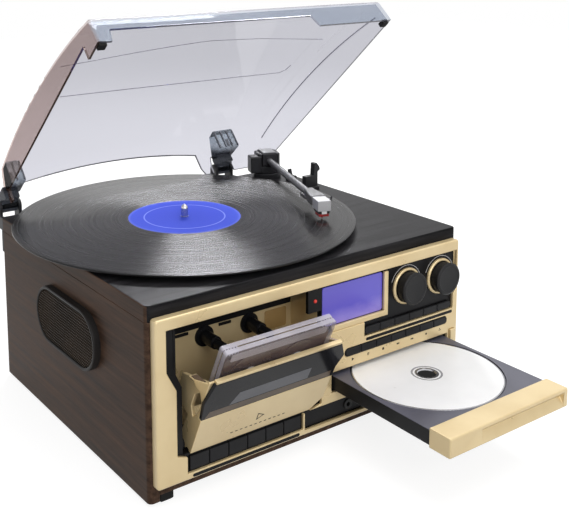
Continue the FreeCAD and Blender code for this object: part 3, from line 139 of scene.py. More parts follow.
def colour_ramp(node, link, source, shader, *stops):
    # Colours the shader along the source; a stop is a position and a colour.
    colours = node("ShaderNodeValToRGB")
    band = colours.color_ramp.elements
    while len(band) < len(stops):
        band.new(0.5)
    for element, (at, colour) in zip(band, stops):
        element.position = at
        element.color = (*colour, 1)
    link(source, colours.inputs["Fac"])
    link(colours.outputs["Color"], shader.inputs["Base Color"])
    return colours.outputs["Color"]


def vary_gloss(node, link, source, shader, low, high):
    # Lets the roughness follow a noise: low where it is 0.3, high where it is 0.7.
    spread = node("ShaderNodeMapRange", From_Min=0.3, From_Max=0.7, To_Min=low, To_Max=high)
    link(source, spread.inputs["Value"])
    link(spread.outputs["Result"], shader.inputs["Roughness"])


def relief(node, link, source, shader, strength, depth):
    # Raises the surface by the source, depth in metres.
    bump = node("ShaderNodeBump", Strength=strength, Distance=depth)
    link(source, bump.inputs["Height"])
    link(bump.outputs["Normal"], shader.inputs["Normal"])


def foil_finish(name, stretch, dark, light, gloss, bump, shine):
    # Wood-grain foil: long streaks with finer pores between them.
    finish, node, link, shader = new_finish(name, Specular_IOR_Level=shine)
    streaks = grain_map(node, link, 160.0, 9.0, 0.68, stretch)
    colour_ramp(node, link, streaks, shader, (0.34, dark), (0.68, light))
    vary_gloss(node, link, streaks, shader, gloss - 0.06, gloss + 0.08)
    relief(node, link, streaks, shader, bump, 0.0004)
    return finish


black_veneer = foil_finish("black_veneer", (1.0, 0.05, 1.0), (0.026, 0.015, 0.010), (0.125, 0.074, 0.050),
                           gloss=0.42, bump=0.30, shine=0.07)
place_eased("side_boards", "side_panels", 0.7, black_veneer, "cabinet", "black_veneer")
place_eased("base_board", "bottom_board", 0.6, black_veneer, "cabinet", "black_veneer")

# Deck: one board across the top, covered in black foil with a coarse open grain along its length, turned
# out round for the platter. It lies on the side boards, ends flush with them and is veneered there like them.
deck_foil = foil_finish("deck_foil", (0.05, 1.0, 1.0), (0.004, 0.004, 0.0045), (0.032, 0.031, 0.034),
                        gloss=0.34, bump=0.12, shine=0.05)
deck_form = eased_form("top_deck", 0.5)
deck_form.normal_update()
for face in deck_form.faces:
    face.material_index = 1 if abs(face.normal.x) > 0.6 else 0


def place_form(name, form, finishes, body, slot, *nodes, crease=35, swing=None):
    # Places a worked form as a piece; one that was drawn shut or straight is first swung round.
    if swing is not None:
        form.transform(swing)
    return place_piece(name, to_mesh(form, name, crease), finishes, body, slot, *nodes)


place_form("deck_board", deck_form, [deck_foil, black_veneer], "cabinet", "black_veneer", "top_deck")

# Back and feet: a painted hardboard screwed into the back, and four soft rubber blocks glued under the
# corners of the base board, against the side boards.


def moulded_finish(name, dark, light, gloss, grain=220.0, depth=0.00006, spread=0.05, shine=0.5, **values):
    # Moulded plastic or paint: a slight cloud in colour and gloss, and a fine skin.
    finish, node, link, shader = new_finish(name, Specular_IOR_Level=shine, **values)
    cloud = grain_map(node, link, grain * 0.12, 3.0, 0.5)
    skin = grain_map(node, link, grain * 6, 2.0, 0.6)
    colour_ramp(node, link, cloud, shader, (0.35, dark), (0.65, light))
    vary_gloss(node, link, cloud, shader, gloss - spread, gloss + spread)
    relief(node, link, skin, shader, 0.25, depth)
    return finish


back_paint = moulded_finish("back_paint", (0.014, 0.013, 0.013), (0.024, 0.022, 0.021), 0.6, 300.0,
                            shine=0.12)
place_eased("back_board", "back_panel", 0.4, back_paint, "cabinet", "black_veneer")
foot_rubber = moulded_finish("foot_rubber", (0.010, 0.010, 0.010), (0.018, 0.018, 0.018), 0.75, shine=0.15)
place_eased("feet", "rubber_feet", 0.4, foot_rubber, "cabinet", "rubber")

# Loudspeaker grilles: a raised black oval frame on each side board around a sheet of pressed, perforated
# steel. The sheet is made of small square cells with a round hole, set out in rows and cut to the oval.
SIDE_FACE = 156.0
GRILLE_CENTRE = (-0.007, 0.0945)
FRAME_RUN = 28.5
FRAME_ROUND = 24.5
RIM = [(-2.9, 0.3), (-2.9, 4.6), (-2.5, 5.5), (-1.8, 5.9), (-1.0, 5.9), (-0.3, 5.4), (0.0, 4.4), (0.0, 0.0)]
grille_black = moulded_finish("grille_black", (0.011, 0.010, 0.010), (0.020, 0.018, 0.017), 0.42, shine=0.15)
mesh_steel = moulded_finish("mesh_steel", (0.034, 0.024, 0.016), (0.060, 0.042, 0.029), 0.38, shine=0.15,
                            Metallic=0.2)


def join_rings(form, near, far):
    # Closes the gap between two rings of equal count.
    for i in range(len(near)):
        form.faces.new((near[i - 1], near[i], far[i], far[i - 1]))


frames = bmesh.new()
for side in (-1, 1):
    rings = []
    for reach, height in RIM:
        radius = FRAME_ROUND + reach
        ring = []
        for middle, start in ((FRAME_RUN, -90), (-FRAME_RUN, 90)):
            for i in range(25):
                angle = math.radians(start + 7.5 * i)
                ring.append(frames.verts.new((side * (SIDE_FACE + height) * MM,
                                              GRILLE_CENTRE[0] + (middle + radius * math.cos(angle)) * MM,
                                              GRILLE_CENTRE[1] + radius * math.sin(angle) * MM)))
        rings.append(ring)
    for near, far in zip(rings, rings[1:]):
        join_rings(frames, near, far)
    frames.faces.new(rings[0])
    frames.faces.new(rings[-1])
bmesh.ops.recalc_face_normals(frames, faces=frames.faces)
place_form("grille_frames", frames, [grille_black], "cabinet", "black_plastic", "speaker_grilles")

SHEET_FACE = 0.1611
SHEET_THICK = 0.0004
SHEET_HALF = (0.0500, 0.0215)
PITCH = 0.0023
HOLE_SIDES = 8
HOLE_SHARE = 0.31
cell = bmesh.new()
hole = []
square = []
for step in range(HOLE_SIDES):
    angle = 2 * math.pi * (step + 0.5) / HOLE_SIDES
    along, up = math.cos(angle), math.sin(angle)
    reach = 0.5 * PITCH / max(abs(along), abs(up))
    hole.append(cell.verts.new((0, HOLE_SHARE * PITCH * along, HOLE_SHARE * PITCH * up)))
    square.append(cell.verts.new((0, reach * along, reach * up)))
sunk = [cell.verts.new(v.co + Vector((SHEET_THICK, 0, 0))) for v in hole]
for step in range(HOLE_SIDES):
    after = (step + 1) % HOLE_SIDES
    cell.faces.new((square[step], hole[step], hole[after], square[after]))
    cell.faces.new((hole[step], sunk[step], sunk[after], hole[after]))
# The cell is drawn facing along X, and the grid lies in X and Y, so the cell is tipped flat to be laid out.
cell.transform(Matrix.Rotation(math.radians(90), 4, "Y"))
cell_mesh = bpy.data.meshes.new("grille_cell")
cell.to_mesh(cell_mesh)
cell.free()


def new_tree(name, **sockets):
    # A tree of geometry nodes with a mesh in, a mesh out and named inputs of the kinds given.
    tree = bpy.data.node_groups.new(name, "GeometryNodeTree")
    tree.interface.new_socket("Geometry", in_out="INPUT", socket_type="NodeSocketGeometry")
    for key, kind in sockets.items():
        tree.interface.new_socket(key, in_out="INPUT", socket_type="NodeSocket" + kind)
    tree.interface.new_socket("Geometry", in_out="OUTPUT", socket_type="NodeSocketGeometry")
    return tree


def repeat_on(node, link, points, instance, finish):
    # Ends a tree: the instance on every point, made real and given its finish.
    lay = node("GeometryNodeInstanceOnPoints")
    link(points, lay.inputs["Points"])
    link(instance, lay.inputs["Instance"])
    whole = node("GeometryNodeRealizeInstances")
    link(lay.outputs["Instances"], whole.inputs["Geometry"])
    paint = node("GeometryNodeSetMaterial")
    link(whole.outputs["Geometry"], paint.inputs["Geometry"])
    link(finish, paint.inputs["Material"])
    link(paint.outputs["Geometry"], node("NodeGroupOutput").inputs["Geometry"])


def grown_mesh(tree, mesh, **wanted):
    # Runs a tree on a mesh with its named inputs and gives back the plain mesh it makes.
    carrier = bpy.data.objects.new(tree.name, mesh)
    bpy.context.scene.collection.objects.link(carrier)
    layout = carrier.modifiers.new(tree.name, "NODES")
    layout.node_group = tree
    for item in tree.interface.items_tree:
        if item.in_out == "INPUT" and item.name in wanted:
            layout[item.identifier] = wanted[item.name]
    return plain_mesh(carrier, layout)


sheet_tree = new_tree("perforated_sheet", Length="Float", Height="Float", Pitch="Float", Finish="Material")
sheet_node, sheet_link = tree_tools(sheet_tree)
given = sheet_node("NodeGroupInput")
length, height, pitch = (given.outputs[key] for key in ("Length", "Height", "Pitch"))


def sum_of(kind, first, second=None):
    # One arithmetic node of the perforation tree.
    calc = sheet_node("ShaderNodeMath", operation=kind)
    for socket, value in zip(calc.inputs, (first, second)):
        if isinstance(value, (int, float)):
            socket.default_value = value
        elif value is not None:
            sheet_link(value, socket)
    return calc.outputs[0]


columns = sum_of("ADD", sum_of("ROUND", sum_of("DIVIDE", length, pitch)), 1)
rows = sum_of("ADD", sum_of("ROUND", sum_of("DIVIDE", height, pitch)), 1)
grid = sheet_node("GeometryNodeMeshGrid")
sheet_link(sum_of("MULTIPLY", sum_of("SUBTRACT", columns, 1), pitch), grid.inputs["Size X"])
sheet_link(sum_of("MULTIPLY", sum_of("SUBTRACT", rows, 1), pitch), grid.inputs["Size Y"])
sheet_link(columns, grid.inputs["Vertices X"])
sheet_link(rows, grid.inputs["Vertices Y"])
apart = sheet_node("ShaderNodeSeparateXYZ")
sheet_link(sheet_node("GeometryNodeInputPosition").outputs[0], apart.inputs[0])
half_tall = sum_of("MULTIPLY", height, 0.5)
straight = sum_of("SUBTRACT", sum_of("MULTIPLY", length, 0.5), half_tall)
past_end = sum_of("MAXIMUM", sum_of("SUBTRACT", sum_of("ABSOLUTE", apart.outputs[0]), straight), 0.0)
across = sum_of("POWER", sum_of("ABSOLUTE", apart.outputs[1]), 2.0)
away = sum_of("SQRT", sum_of("ADD", sum_of("POWER", past_end, 2.0), across))
trim_off = sheet_node("GeometryNodeDeleteGeometry")
sheet_link(grid.outputs["Mesh"], trim_off.inputs["Geometry"])
sheet_link(sum_of("GREATER_THAN", away, half_tall), trim_off.inputs["Selection"])
repeat_on(sheet_node, sheet_link, trim_off.outputs["Geometry"], given.outputs["Geometry"],
          given.outputs["Finish"])
laid = grown_mesh(sheet_tree, cell_mesh, Length=2 * SHEET_HALF[0], Height=2 * SHEET_HALF[1], Pitch=PITCH,
                  Finish=mesh_steel)


def merge_form(form, into):
    # Adds one worked form to another.
    part = bpy.data.meshes.new("part")
    form.to_mesh(part)
    form.free()
    into.from_mesh(part)


sheets = bmesh.new()
for side in (-1, 1):
    half = bmesh.new()
    half.from_mesh(laid)
    bmesh.ops.remove_doubles(half, verts=half.verts, dist=1e-5)
    half.transform(Matrix(((0, 0, 1, 0), (1, 0, 0, 0), (0, 1, 0, 0), (0, 0, 0, 1))))
    if side > 0:
        half.transform(Matrix.Rotation(math.pi, 4, "Z"))
    bmesh.ops.recalc_face_normals(half, faces=half.faces)
    facing = sum(f.normal.x * f.calc_area() for f in half.faces)
    if facing * side < 0:
        bmesh.ops.reverse_faces(half, faces=half.faces)
    half.transform(Matrix.Translation((side * SHEET_FACE, *GRILLE_CENTRE)))
    merge_form(half, sheets)
place_form("grille_sheets", sheets, [mesh_steel], "cabinet", "black_plastic")
NODES["speaker_drivers"].material_slots[0].material = grille_black

# Front moulding: one large champagne-gold moulding with a satin metal paint, clipped over the black panel,
# with raised bars round the display and a ring round each knob.
gold_paint = moulded_finish("gold_paint", (0.71, 0.55, 0.300), (0.77, 0.615, 0.355), 0.30, 260.0, 0.000003,
                            0.04, Metallic=0.30)
place_eased("front_moulding", "front_bezel", 0.6, gold_paint, "cabinet", "gold_plastic")
place_eased("front_bars", "front_trim", 0.35, gold_paint, "cabinet", "gold_plastic")

# Control panel: a black satin plastic sheet fixed behind the moulding, with openings for knobs and display,
# printed with a thin white arc round each knob.
PANEL_FACE = -0.133
KNOB_PLACES = ((0.092, 0.112), (0.132, 0.112))
ARC_RADII = (0.0178, 0.0174)
ARC_SPAN = (-70, 64)
panel_black = moulded_finish("panel_black", (0.007, 0.007, 0.008), (0.013, 0.013, 0.014), 0.36, 300.0,
                             0.00008, shine=0.12)
print_white = moulded_finish("print_white", (0.60, 0.60, 0.60), (0.72, 0.72, 0.72), 0.5)
place_eased("panel_sheet", "control_panel", 0.15, panel_black, "cabinet", "black_plastic")


def flat_plate(form, outline, y_front, y_back):
    # Adds a thin plate to the form: an outline in X and Z, given from y_front back to y_back.
    near = [form.verts.new((x, y_front, z)) for x, z in outline]
    far = [form.verts.new((x, y_back, z)) for x, z in outline]
    faces = [form.faces.new(near), form.faces.new(list(reversed(far)))]
    for i in range(len(outline)):
        j = (i + 1) % len(outline)
        faces.append(form.faces.new((near[j], near[i], far[i], far[j])))
    bmesh.ops.recalc_face_normals(form, faces=faces)


def arc_points(x, z, radius, first, last, steps):
    turn = [math.radians(first + (last - first) * i / steps) for i in range(steps + 1)]
    return [(x + radius * math.sin(a), z + radius * math.cos(a)) for a in turn]


prints = bmesh.new()
for knob_x, knob_z in KNOB_PLACES:
    outer, inner = (arc_points(knob_x, knob_z, radius, *ARC_SPAN, 40) for radius in ARC_RADII)
    flat_plate(prints, outer + list(reversed(inner)), PANEL_FACE - 0.00006, PANEL_FACE + 0.0002)
place_form("panel_print", prints, [print_white], "cabinet", "black_plastic")

# Display: a blue backlit glass with rounded corners let into the panel; it glows a little and is paler
# towards its lower edge.
LENS = (0.0003, 0.0647, 0.0973, 0.1297)
LENS_BACK = -0.1222
LENS_ROUND = 0.0022
CLOUD_SHARE = 0.35


def round_rect(x0, x1, z0, z1, radius, steps=6):
    points = []
    for cx, cz, start in ((x1 - radius, z1 - radius, 0), (x1 - radius, z0 + radius, 90),
                          (x0 + radius, z0 + radius, 180), (x0 + radius, z1 - radius, 270)):
        points += arc_points(cx, cz, radius, start, start + 90, steps)
    return points


def level_along(node, link, axis, low, high):
    # Rises from 0 at low to 1 at high along one axis of the piece's own place.
    place = node("ShaderNodeTexCoord")
    apart = node("ShaderNodeSeparateXYZ")
    level = node("ShaderNodeMapRange", From_Min=low, From_Max=high)
    link(place.outputs["Object"], apart.inputs[0])
    link(apart.outputs[axis], level.inputs["Value"])
    return level.outputs["Result"]


display_glass, node, link, shader = new_finish("display_glass", Emission_Strength=0.16, Roughness=0.22,
                                               Coat_Weight=0.3, Coat_Roughness=0.08)
mixed = node("ShaderNodeMath", operation="MULTIPLY_ADD")
mixed.inputs[1].default_value = CLOUD_SHARE
link(grain_map(node, link, 60.0, 3.0, 0.5, (1.0, 1.0, 1.6)), mixed.inputs[0])
link(level_along(node, link, "Z", LENS[2], LENS[3]), mixed.inputs[2])
blue = colour_ramp(node, link, mixed.outputs[0], shader, (0.12, (0.26, 0.20, 0.60)),
                   (0.6, (0.10, 0.08, 0.52)))
link(blue, shader.inputs["Emission Color"])
lens = bmesh.new()
flat_plate(lens, round_rect(*LENS, LENS_ROUND), PANEL_FACE, LENS_BACK)
break_edges(lens, [e for e in lens.edges if all(abs(v.co.y - PANEL_FACE) < 1e-6 for v in e.verts)], 0.4)
place_form("display_lens", lens, [display_glass], "cabinet", "display", "display_window")

# Knobs: black plastic caps pushed on to their shafts. They are turned, flare a little towards the face and
# have a chamfered rim and a shallow dish.


def turned_form(points, steps, place):
    # A turned piece: (radius, distance) pairs in millimetres swung round the Z axis, then put in place.
    form = bmesh.new()
    ring = [form.verts.new((r * MM, 0, h * MM)) for r, h in points]
    edges = [form.edges.new(pair) for pair in zip(ring, ring[1:])]
    bmesh.ops.spin(form, geom=ring + edges, cent=(0, 0, 0), axis=(0, 0, 1), angle=2 * math.pi, steps=steps)
    bmesh.ops.remove_doubles(form, verts=form.verts, dist=1e-6)
    bmesh.ops.recalc_face_normals(form, faces=form.faces)
    form.transform(place)
    return form


FACE_FORWARD = Matrix.Rotation(math.radians(90), 4, "X")
knob_black = moulded_finish("knob_black", (0.010, 0.010, 0.011), (0.017, 0.017, 0.018), 0.46, 320.0, 0.0001,
                            shine=0.2)
knob_shape = [(0, -13), (3.0, -13), (3.0, 1.0), (12.2, 1.0), (12.4, 1.3), (13.75, 9.9), (13.9, 10.3),
              (13.75, 10.7), (12.75, 11.4), (12.5, 11.5), (11.2, 11.5), (11.0, 11.3), (10.7, 11.2),
              (6.0, 11.05), (0, 11.0)]
for name, body, (knob_x, knob_z) in zip(("volume_knob", "tuning_knob"), ("volume", "tuning"), KNOB_PLACES):
    form = turned_form(knob_shape, 96, Matrix.Translation((knob_x, PANEL_FACE, knob_z)) @ FACE_FORWARD)
    place_form(name + "_cap", form, [knob_black], body, "black_plastic", name, crease=28)

# Buttons and keys: rows of small moulded black keys with softened fronts, each on its own spring, and one
# tall gold button for the power.
key_black = moulded_finish("key_black", (0.009, 0.009, 0.010), (0.016, 0.016, 0.018), 0.34, 300.0, shine=0.15)
KEY_ROWS = [("upper_button", 6), ("lower_button", 7), ("tape_key", 6)]
for row, count in KEY_ROWS:
    for i in range(count):
        name = row + "_" + str(i + 1)
        place_eased(name + "_cap", name, 0.3, key_black, name + "_body", "black_plastic")
place_eased("power_cap", "power_button", 0.4, gold_paint, "power", "gold_plastic")

# Label strips and pictograms: black strips under the key rows and small plain signs, both printed on the
# gold paint in a thin layer.
BEZEL_FACE = -0.136
PRINT = (BEZEL_FACE - 0.00008, BEZEL_FACE + 0.0003)
SIGN_LEFT = 0.0304
SIGN_STEP = 0.0168
SIGN_Z = 0.0648
strips = bmesh.new()
for x0, x1, z0, z1 in ((0.0445, 0.1460, 0.0765, 0.0791), (-0.1235, -0.0245, 0.0163, 0.0189)):
    flat_plate(strips, round_rect(x0, x1, z0, z1, (z1 - z0) / 2 - 1e-5), *PRINT)


def sign_triangle(x, z, size, way):
    base = x - way * size * 0.5
    return [(base, z - size * 0.6), (base, z + size * 0.6), (x + way * size * 0.6, z)]


def sign_bar(x, z, wide, tall):
    return [(x - wide, z - tall), (x + wide, z - tall), (x + wide, z + tall), (x - wide, z + tall)]


signs = [[sign_triangle(0, 0, 0.0022, 1)],
         [sign_bar(x, 0, 0.0003, 0.0011) for x in (-0.0006, 0.0006)],
         [sign_bar(0, 0, 0.001, 0.001)],
         [sign_triangle(x, 0, 0.0016, -1) for x in (-0.0008, 0.0008)],
         [sign_triangle(x, 0, 0.0016, 1) for x in (-0.0008, 0.0008)],
         [arc_points(0, 0, 0.0009, 0, 345, 16)],
         [sign_bar(0, -0.0008, 0.0012, 0.0003), sign_triangle(0, 0.0005, 0.001, 1)]]
for i, shapes in enumerate(signs):
    for outline in shapes:
        flat_plate(strips, [(x + SIGN_LEFT + i * SIGN_STEP, z + SIGN_Z) for x, z in outline], *PRINT)
place_form("label_strips", strips, [panel_black], "cabinet", "black_plastic")

# Power light: a small round lens of red plastic, pressed into the black panel above the cassette bay. It
# glows a little.
LIGHT_PLACE = (-0.007, PANEL_FACE, 0.121)
led_red, node, link, shader = new_finish("led_red", Base_Color=(0.55, 0.03, 0.02, 1),
                                         Emission_Color=(0.8, 0.05, 0.03, 1), Emission_Strength=0.25)
vary_gloss(node, link, grain_map(node, link, 900.0, 2.0, 0.5), shader, 0.15, 0.3)
led_shape = [(0, -1.5), (1.5, -1.5), (1.5, 0.2), (1.3, 0.6), (0.8, 0.9), (0, 1.0)]
form = turned_form(led_shape, 32, Matrix.Translation(LIGHT_PLACE) @ FACE_FORWARD)
place_form("power_light", form, [led_red], "cabinet", "display", crease=50)

# Sockets and inner pieces: black plastic sockets, one for headphones in front, line sockets and a mains inlet
# behind, between the screws that hold the back; green circuit boards inside.
BACK_FACE = 0.129
SCREW_COLUMNS = (-0.120, 0.0, 0.125)
SCREW_ROWS = (0.0215, 0.1265)
socket_black = moulded_finish("socket_black", (0.012, 0.012, 0.012), (0.02, 0.02, 0.02), 0.4, shine=0.2)
board_green = moulded_finish("board_green", (0.03, 0.10, 0.05), (0.05, 0.14, 0.07), 0.5)
place_eased("socket_bodies", "sockets", 0.25, socket_black, "cabinet", "black_plastic")
NODES["electronics"].material_slots[0].material = board_green
set_tree = new_tree("set_out", Piece="Object", Finish="Material")
set_node, set_link = tree_tools(set_tree)
given = set_node("NodeGroupInput")
single = set_node("GeometryNodeObjectInfo")
set_link(given.outputs["Piece"], single.inputs["Object"])
repeat_on(set_node, set_link, given.outputs["Geometry"], single.outputs["Geometry"], given.outputs["Finish"])


def set_out(form, places, finish):
    # Repeats a worked form at each place and gives back the whole as one form.
    model = bpy.data.objects.new("model", bpy.data.meshes.new("model"))
    bpy.context.scene.collection.objects.link(model)
    form.to_mesh(model.data)
    form.free()
    model.data.materials.append(finish)
    points = bpy.data.meshes.new("places")
    points.from_pydata(places, [], [])
    whole = bmesh.new()
    whole.from_mesh(grown_mesh(set_tree, points, Piece=model, Finish=finish))
    bpy.data.objects.remove(model)
    return whole


screw_shape = [(0, 0.5), (0.5, 0.55), (0.9, 1.0), (2.0, 0.95), (2.7, 0.55), (3.0, 0.0), (3.0, -0.5),
               (0, -0.5)]
screw = turned_form(screw_shape, 24, FACE_FORWARD.inverted())
screws = set_out(screw, [(x, BACK_FACE, z) for x in SCREW_COLUMNS for z in SCREW_ROWS], socket_black)
place_form("back_screws", screws, [socket_black], "cabinet", "metal")

# Cassette bay: a moulded box behind the panel, its back wall and right wall gold. Black plates along the top
# and left of the back wall are painted shadow from the edges of the opening, dark plates over two guide slots
# are painted shade in them, and two toothed spindles stand out of round dark plates painted as the shade in
# their holes.
BAY_BACK = -0.097
BAY_SKIN = BAY_BACK + 0.0001
BAY_FLOOR = 0.034
SLOT_RISE = (0.1050, 0.1074)
HUBS = (-0.08725, -0.04475)
HUB_HIGH = 0.1009
bay_form = eased_form("cassette_well", 0.2)
for face in bay_form.faces:
    at = face.calc_center_median()
    on_back = face.normal.y < -0.9 and at.y > BAY_BACK - 0.004 and at.z > BAY_FLOOR
    on_right = face.normal.x < -0.9 and -0.004 < at.x < -0.001
    face.material_index = 0 if on_back or on_right else 1
place_form("bay_box", bay_form, [gold_paint, panel_black], "cabinet", "black_plastic", "cassette_well")
# Painted shadow: an L of black plates where the top and left edges of the opening shade the back wall; the
# slot and hole plates are painted shade.
bay_shadow_plates = bmesh.new()
shadow_outline = [(-0.1328, 0.036), (-0.1140, 0.036), (-0.1140, 0.1085), (-0.0035, 0.1085), (-0.0035, 0.1312),
              (-0.1328, 0.1312)]
flat_plate(bay_shadow_plates, shadow_outline, BAY_BACK - 0.0012, BAY_SKIN)
for x0, x1 in ((-0.1150, -0.1015), (-0.0735, -0.0620)):
    flat_plate(bay_shadow_plates, round_rect(x0, x1, *SLOT_RISE, 0.0004, 2), BAY_BACK - 0.0006, BAY_SKIN)
for hub_x in HUBS:
    flat_plate(bay_shadow_plates, arc_points(hub_x, HUB_HIGH, 0.0082, 0, 354, 59), BAY_BACK - 0.0016, BAY_SKIN)
place_form("bay_liner", bay_shadow_plates, [panel_black], "cabinet", "black_plastic")
# A darker gold plate in a recess near the right of the back wall: painted shade.
gold_shade = moulded_finish("gold_shade", (0.38, 0.24, 0.09), (0.46, 0.30, 0.13), 0.36, 260.0, 0.00004)
recess_shade = bmesh.new()
flat_plate(recess_shade, round_rect(-0.0290, -0.0075, 0.0900, 0.1060, 0.0015, 3), BAY_BACK - 0.0005, BAY_SKIN)
place_form("bay_recess", recess_shade, [gold_shade], "cabinet", "gold_plastic")
for way in ("left", "right"):
    name = "reel_spindle_" + way
    place_eased(name + "_hub", name, 0.15, key_black, "reel_" + way, "black_plastic")
NODES["disc_drive"].material_slots[0].material = socket_black

# Cassette door: a moulded gold lower front with cheeks that carry the cassette, and a smoked plastic window
# above it. Drawn shut and swung out on its lower pins.


def swing_about(y, z, degrees):
    # A turn about an axis along X through y and z.
    return (Matrix.Translation((0, y, z)) @ Matrix.Rotation(math.radians(degrees), 4, "X")
            @ Matrix.Translation((0, -y, -z)))


DOOR_SWING = swing_about(-0.125, 0.039, 24.8)


def smooth_finish(name, dark, light, gloss, grain=300.0, **values):
    # Moulded plastic with a polished skin.
    return moulded_finish(name, dark, light, gloss, grain, 0.00002, **values)


window_black = smooth_finish("window_black", (0.010, 0.010, 0.012), (0.017, 0.017, 0.020), 0.16, 200.0,
                             spread=0.03, shine=0.12)
window_grey = smooth_finish("window_grey", (0.115, 0.118, 0.135), (0.145, 0.148, 0.165), 0.18, 200.0,
                            spread=0.03, shine=0.2)
window_brown = smooth_finish("window_brown", (0.10, 0.072, 0.050), (0.14, 0.10, 0.07), 0.2, 200.0,
                             spread=0.03, shine=0.2)
place_eased("door_moulding", "cassette_door", 0.5, gold_paint, "door", "gold_plastic")
place_eased("door_pane", "door_window", 0.5, window_black, "door", "smoke_window")
TINTS = [("door_tint", window_grey, 0.00006,
          [(-0.0965, 0.0915), (-0.0305, 0.0920), (-0.0312, 0.0812), (-0.1030, 0.0812)]),
         ("door_tint_low", window_brown, 0.00005,
          [(-0.1195, 0.0805), (-0.0075, 0.0805), (-0.0068, 0.0745), (-0.1225, 0.0745)])]
for name, finish, proud, outline in TINTS:
    tint = bmesh.new()
    flat_plate(tint, outline, BEZEL_FACE - proud, PRINT[1])
    place_form(name, tint, [finish], "door", "smoke_window", swing=DOOR_SWING)

TICK_COUNT = 12
TICK_LEFT = -0.0910
TICK_STEP = 0.0044
door_print = bmesh.new()
outer = sign_triangle(-0.0670, 0.0550, 0.0062, 1)
inner = sign_triangle(-0.0672, 0.0550, 0.0042, 1)
for i in range(3):
    flat_plate(door_print, [outer[i - 1], outer[i], inner[i], inner[i - 1]], *PRINT)
for i in range(TICK_COUNT):
    flat_plate(door_print, sign_bar(TICK_LEFT + i * TICK_STEP, 0.0468, 0.0011, 0.0004), *PRINT)
place_form("door_signs", door_print, [panel_black], "door", "black_plastic", swing=DOOR_SWING)


def eased_block(form, near, far, ease):
    # Adds a block to the form: two outlines of equal count, joined, its edges broken by ease millimetres.
    block = bmesh.new()
    ends = [[block.verts.new(p) for p in outline] for outline in (near, far)]
    block.faces.new(ends[0])
    block.faces.new(list(reversed(ends[1])))
    for i in range(len(near)):
        j = (i + 1) % len(near)
        block.faces.new((ends[0][j], ends[0][i], ends[1][i], ends[1][j]))
    bmesh.ops.recalc_face_normals(block, faces=block.faces)
    break_edges(block, list(block.edges), ease)
    merge_form(block, form)


def box_ends(x0, x1, y0, y1, z0, z1):
    # The lower and upper outline of a block given by its limits in millimetres.
    plan = [(x0, y0), (x1, y0), (x1, y1), (x0, y1)]
    return [[(x * MM, y * MM, z * MM) for x, y in plan] for z in (z0, z1)]


pocket = bmesh.new()
low_plan = [(-0.1245, -0.1325, 0.093), (-0.1245, -0.117, 0.093), (-0.1256, -0.117, 0.093),
            (-0.1256, -0.122, 0.093)]
high_plan = [(-0.1245, -0.1325, 0.1065), (-0.1245, -0.117, 0.1015), (-0.1312, -0.117, 0.1015),
             (-0.1312, -0.122, 0.1035)]
eased_block(pocket, low_plan, high_plan, 0.3)
eased_block(pocket, *box_ends(-121.0, -6.5, -135.7, -132.2, 107.8, 110.2), 0.4)
place_form("door_pocket", pocket, [gold_paint], "door", "gold_plastic", swing=DOOR_SWING)
# Brown blocks in the pocket by the left cheek and under the lip: painted shade in the door's recesses.
pocket = bmesh.new()
low_plan = [(-0.1252, -0.1290, 0.1030), (-0.1252, -0.1182, 0.0995), (-0.1300, -0.1182, 0.0995),
            (-0.1300, -0.1225, 0.1010)]
high_plan = [(x, y, z + 0.0029 + (y + 0.1182) * -0.05) for x, y, z in low_plan]
eased_block(pocket, low_plan, high_plan, 0.1)
eased_block(pocket, *box_ends(-24.3, -12.2, -132.4, -131.3, 106.9, 108.06), 0.05)
place_form("door_pocket_floor", pocket, [window_brown], "door", "gold_plastic", swing=DOOR_SWING)

# Cassette: two clear moulded halves screwed together, with a pale printed sheet, brown tape wound on white
# toothed hubs and ribbed corners. It stands in the door's cheeks.
CASSETTE = (-0.1162, -0.0158, 0.0664, 0.1302)
TAPE_MID = -0.1265
TAPE_HALF = 0.00435
SEAM_HALF = 0.0003
SHEET_FRONT = TAPE_MID - 0.0034
SQUARE_TURN = 1.4
RIM_LOW = 0.1285
RIM_WIDE = 0.0015
RIB_STARTS = (-0.1150, -0.0285)
RIB_STEP = 0.0024
shell_clear, node, link, shader = new_finish("shell_clear", Base_Color=(0.66, 0.62, 0.70, 1), Alpha=0.07)
vary_gloss(node, link, grain_map(node, link, 300.0, 3.0, 0.5), shader, 0.08, 0.16)
shell_edge = smooth_finish("shell_edge", (0.50, 0.47, 0.54), (0.62, 0.59, 0.67), 0.2, 400.0, Alpha=0.6)
sheet_grey = smooth_finish("sheet_grey", (0.22, 0.18, 0.18), (0.34, 0.29, 0.30), 0.4, 160.0)
tape_brown = smooth_finish("tape_brown", (0.040, 0.018, 0.013), (0.075, 0.038, 0.030), 0.3)
hub_white = smooth_finish("hub_white", (0.72, 0.71, 0.72), (0.80, 0.79, 0.80), 0.35)


def holed_plate(form, outline, holes, y_front, y_back):
    # Adds a plate with holes to the form; outline and holes are loops in X and Z.
    sides = []
    for y in (y_front, y_back):
        rings = [[form.verts.new((x, y, z)) for x, z in loop] for loop in [outline] + holes]
        edges = [form.edges.new((ring[i - 1], ring[i])) for ring in rings for i in range(len(ring))]
        bmesh.ops.triangle_fill(form, use_beauty=True, edges=edges)
        sides.append(rings)
    for near, far in zip(*sides):
        join_rings(form, near, far)
    bmesh.ops.recalc_face_normals(form, faces=form.faces)


def hub_ring(hub_x, radius):
    return arc_points(hub_x, HUB_HIGH, radius, 0, 352.5, 47)


def about_tape(half):
    # The front and back of a plate that is centred on the tape.
    return TAPE_MID - half, TAPE_MID + half


